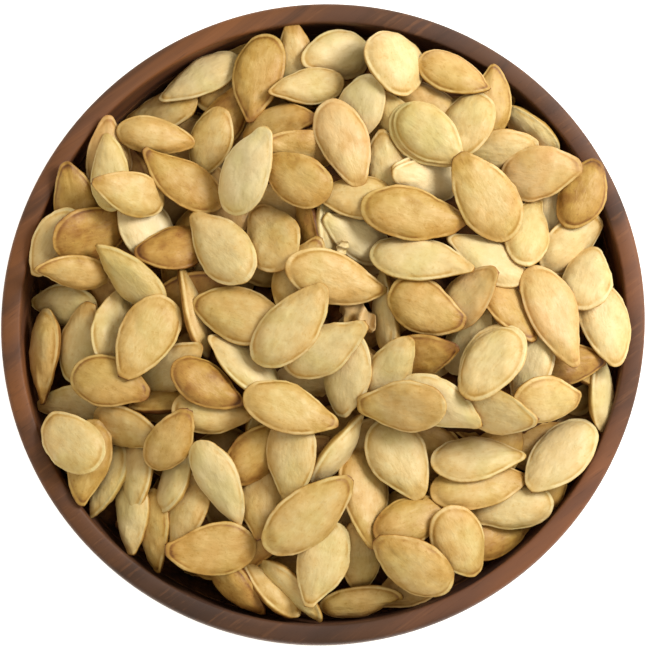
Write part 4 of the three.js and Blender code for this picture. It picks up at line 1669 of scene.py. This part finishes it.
@dataclass
class HuskScraps:
    """Two crumpled scraps of shell that lie between the seeds."""

    heap: Heap
    scraps: tuple[Scrap, ...] = (
        Scrap(357, 318, -38, 8.4, 5.0, 2.2, Tint(0.36, cast=0.6, scorch=0.5)),
        Scrap(343, 250, 55, 3.4, 2.2, 2.4, Tint(0.2, cast=0.2, scorch=0.2)),
    )
    side_waves: tuple[Wave, ...] = (Wave(0.16, 7.0, 3.0), Wave(0.1, 13.0, 0.0))
    end_waves: tuple[Wave, ...] = (Wave(0.06, 0.0, 9.0),)
    folds: tuple[Wave, ...] = (Wave(1.0, 2.3 * math.pi, 0.5 * math.pi), Wave(0.5, 2.0, 4.0, math.pi / 2))
    pointed: tuple[float, float] = (0.45, 0.12)  # how far it narrows to its ends and to its sides
    curl: float = 1.2
    fold_height: float = 0.16  # in shares of its width
    segments: tuple[int, int] = (14, 7)
    lean: tuple[float, float] = (0.25, -0.1)
    thickness: float = 0.3
    finish: SeedShell = field(default_factory=lambda: SeedShell(name="pumpkin_shell_scrap"))

    def _crumple(self, verts: Sequence[bmesh.types.BMVert]) -> None:
        """Gives a flat square scrap its ragged outline and its folds.

        Args:
            verts: The points of the scrap, one unit wide and long.
        """
        to_ends, to_sides = self.pointed
        for vert in verts:
            u, v = vert.co.x * 2, vert.co.y * 2
            side = sum(wave.at(u, v) for wave in self.side_waves)
            end = sum(wave.at(u, v) for wave in self.end_waves)
            fold = sum(wave.at(u, v) for wave in self.folds)
            vert.co.y *= (1.0 - to_ends * u * u) * (1.0 + side)
            vert.co.x *= 1.0 - to_sides * v * v + end
            vert.co.z = self.fold_height * (fold - self.curl * v * v)

    def build(self) -> bpy.types.Object:
        """Builds both scraps as one piece.

        Returns:
            The piece.
        """
        bm = bmesh.new()
        names = ("shell_place", "shell_share", "shell_roast")
        place, share, roast = (bm.verts.layers.float_vector.new(name) for name in names)
        across, down = self.segments
        for scrap in self.scraps:
            x, y = self.heap.place(scrap.px, scrap.py)
            made = bmesh.ops.create_grid(bm, x_segments=across, y_segments=down, size=0.5)["verts"]
            self._crumple(made)
            bmesh.ops.scale(bm, vec=(scrap.length, scrap.width, scrap.width), verts=made)
            for vert in made:
                vert[place] = vert.co * MM
                vert[share] = (0.0, 0.0, 0.0)
                vert[roast] = astuple(scrap.tint)
            turn = Euler((*self.lean, math.radians(scrap.heading))).to_matrix()
            bmesh.ops.rotate(bm, cent=(0, 0, 0), matrix=turn, verts=made)
            top = self.heap.surface.average_near(x, y, scrap.width / 2)
            bmesh.ops.translate(bm, vec=(x, y, top + scrap.lift), verts=made)
        piece = new_piece("husk_scraps", finish_bmesh(bm, "husk_scraps"), self.finish.material())
        wall = piece.modifiers.new("thick", "SOLIDIFY")
        wall.thickness = self.thickness * MM
        smooth = piece.modifiers.new("rounded", "SUBSURF")
        smooth.levels = smooth.render_levels = 1
        stand_in(piece, "seeds")
        return piece


@dataclass
class TurnedBowl:
    """The bowl, spun from its profile."""

    size: BowlSize
    finish: OiledWalnut
    steps: int = 192
    wall_steps: int = 28
    hollow_steps: int = 30
    hollow_spacing: float = 0.8
    rim_crown: float = 0.18
    crown_slope: float = 6.0  # how steeply the crown starts at both edges of the rim, in degrees
    edge_round: float = 2.0  # radius of the rim's inner edge, in shares of the solid's break

    DOWN: ClassVar[float] = -90.0
    OUT: ClassVar[float] = 0.0
    UP: ClassVar[float] = 90.0
    IN: ClassVar[float] = 180.0

    @staticmethod
    def _arc(
        centre: tuple[float, float], radius: float, start: float, end: float, steps: int = 5
    ) -> list[tuple[float, float]]:
        """Draws an arc of the profile.

        Args:
            centre: Radius and height of its centre.
            radius: The arc's radius.
            start: Its first angle in degrees, from straight out.
            end: Its last angle.
            steps: How many steps it has.

        Returns:
            The points.
        """
        turns = [math.radians(start + (end - start) * i / steps) for i in range(steps + 1)]
        return [(centre[0] + radius * math.cos(t), centre[1] + radius * math.sin(t)) for t in turns]

    def _profile(self) -> list[tuple[float, float]]:
        """Draws the bowl's section: up the outside from the foot's middle, and down the hollow.

        Returns:
            Radius and height of each point.
        """
        size = self.size
        flat = size.foot_radius - size.foot_break
        foot = [(0.0, 0.0), (flat, 0.0)]
        foot += self._arc((flat, size.foot_break), size.foot_break, self.DOWN, self.OUT)
        foot += [(size.foot_radius, size.foot_height)]
        run = size.radius - size.foot_radius
        rise = size.widest_at - size.foot_height
        wall = []
        for i in range(1, self.wall_steps + 1):
            turn = math.pi / 2 * i / self.wall_steps
            r = size.foot_radius + run * math.sin(turn)
            wall.append((r, size.foot_height + rise * (1.0 - math.cos(turn))))
        centre = (size.rim_radius - size.rim_round, size.height - size.rim_round)
        outer = self._arc(centre, size.rim_round, self.OUT, self.UP - self.crown_slope)
        middle = (size.rim_radius - size.rim_round + size.inner_radius + size.rim_break) / 2
        crown = [(middle, size.height + self.rim_crown)]
        edge = size.rim_break * self.edge_round
        centre = (size.inner_radius + edge, size.height - edge)
        inner = self._arc(centre, edge, self.UP + self.crown_slope, self.IN)
        hollow = []
        for i in range(1, self.hollow_steps):
            share = math.cos(math.pi / 2 * i / self.hollow_steps) ** self.hollow_spacing
            r = size.inner_radius * share
            hollow.append((r, float(size.hollow_height(r))))
        return foot + wall + outer + crown + inner + hollow + [(0.0, size.floor_thickness)]

    def build(self) -> bpy.types.Object:
        """Builds the bowl's piece.

        Returns:
            The piece.
        """
        bm = spun(self._profile(), self.steps)
        season(bm, self.size)
        piece = new_piece("turned_bowl", finish_bmesh(bm, "turned_bowl"), self.finish.material())
        stand_in(piece, "bowl")
        return piece


# ------------------------------------------------------------------------------------------------
# Studio
# ------------------------------------------------------------------------------------------------


@dataclass
class Studio:
    """White floor, soft light from the right, and the camera over the bowl."""

    rim_height: float
    lens: float = 189.5
    sensor: float = 36.0
    clip_start: float = 0.01  # metres
    distance: float = 655.0  # millimetres from the rim's height
    tip: float = 3.0  # how far the camera leans from straight above, in degrees
    aim: tuple[float, float] = (0.0, -0.13)  # where it looks, in millimetres from the bowl's axis
    floor_size: float = 6.0  # metres
    floor_colour: str = "#f4f4f3"
    floor_roughness: float = 0.9
    glow_colour: str = "#ffffff"
    floor_glow: float = 0.8
    sky: float = 0.6
    sky_colour: str = "#fff6dd"
    key_power: float = 3.08
    key_size: float = 0.24  # metres
    key_distance: float = 0.58  # metres
    key_azimuth: float = 27.0
    key_elevation: float = 42.0

    def build(self) -> None:
        """Builds the camera, the floor and the lights."""
        self._camera()
        self._floor()
        self._world()
        self._key()

    def _camera(self) -> None:
        """Places the camera where the photograph was taken from."""
        data = bpy.data.cameras.new("photo_camera")
        data.lens = self.lens
        data.sensor_width = self.sensor
        data.clip_start = self.clip_start
        camera = bpy.data.objects.new("photo_camera", data)
        lean = Euler((math.radians(self.tip), 0.0, 0.0))
        aim = Vector((self.aim[0], self.aim[1], self.rim_height)) * MM
        camera.location = aim + lean.to_matrix() @ Vector((0.0, 0.0, self.distance * MM))
        camera.rotation_euler = lean
        bpy.context.scene.collection.objects.link(camera)
        bpy.context.scene.camera = camera

    def _floor(self) -> None:
        """Lays a pale floor that is bright enough to fade into the background."""
        material = new_material("studio_paper_white")
        tree = material.node_tree
        inputs = {
            "Base Color": linear(self.floor_colour),
            "Roughness": self.floor_roughness,
            "Emission Color": linear(self.glow_colour),
            "Emission Strength": self.floor_glow,
        }
        shader = add_node(tree, "ShaderNodeBsdfPrincipled", inputs)
        add_node(tree, "ShaderNodeOutputMaterial", {0: shader.outputs[0]})
        bm = bmesh.new()
        bmesh.ops.create_grid(bm, x_segments=1, y_segments=1, size=self.floor_size / 2)
        mesh = bpy.data.meshes.new("floor")
        bm.to_mesh(mesh)
        bm.free()
        new_piece("floor", mesh, material)

    def _world(self) -> None:
        """Fills the studio with soft warm light."""
        world = bpy.data.worlds.new("studio")
        world.use_nodes = True
        tree = world.node_tree
        tree.nodes.clear()
        inputs = {"Color": linear(self.sky_colour), "Strength": self.sky}
        sky = add_node(tree, "ShaderNodeBackground", inputs)
        add_node(tree, "ShaderNodeOutputWorld", {0: sky.outputs[0]})
        bpy.context.scene.world = world

    def _key(self) -> None:
        """Hangs the soft box to the right of the bowl."""
        data = bpy.data.lights.new("key_softbox", "AREA")
        data.energy = self.key_power
        data.size = self.key_size
        azimuth, elevation = math.radians(self.key_azimuth), math.radians(self.key_elevation)
        flat = math.cos(elevation)
        away = Vector((flat * math.cos(azimuth), flat * math.sin(azimuth), math.sin(elevation)))
        light = bpy.data.objects.new("key_softbox", data)
        light.location = away * self.key_distance + Vector((0.0, 0.0, self.rim_height * MM))
        light.rotation_euler = away.to_track_quat("Z", "Y").to_euler()
        bpy.context.scene.collection.objects.link(light)


def main() -> None:
    """Builds the studio, the bowl and the seeds."""
    logging.basicConfig(level=logging.INFO, format="%(name)s %(message)s")
    scene = bpy.context.scene
    scene.view_settings.view_transform = "Standard"
    low, high = (np.array(corner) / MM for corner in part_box("bowl"))
    widest = round(float((high - low)[:2].mean()) / 2, 1)
    bowl = BowlSize(radius=widest, height=round(float(high[2]), 1))
    Studio(rim_height=bowl.height).build()
    pieces = [TurnedBowl(bowl, OiledWalnut(grain=bowl.grain)).build()]
    heap = Heap(bowl, PhotoFrame())
    log.info("%d seeds laid", len(heap.seeds))
    pieces += [SeedBed(heap).build(), *Seeds(heap).build(), HuskScraps(heap).build()]
    for piece in pieces:
        log.info("%s: %d faces before its modifiers", piece.name, len(piece.data.polygons))


if __name__ == "__main__":
    main()
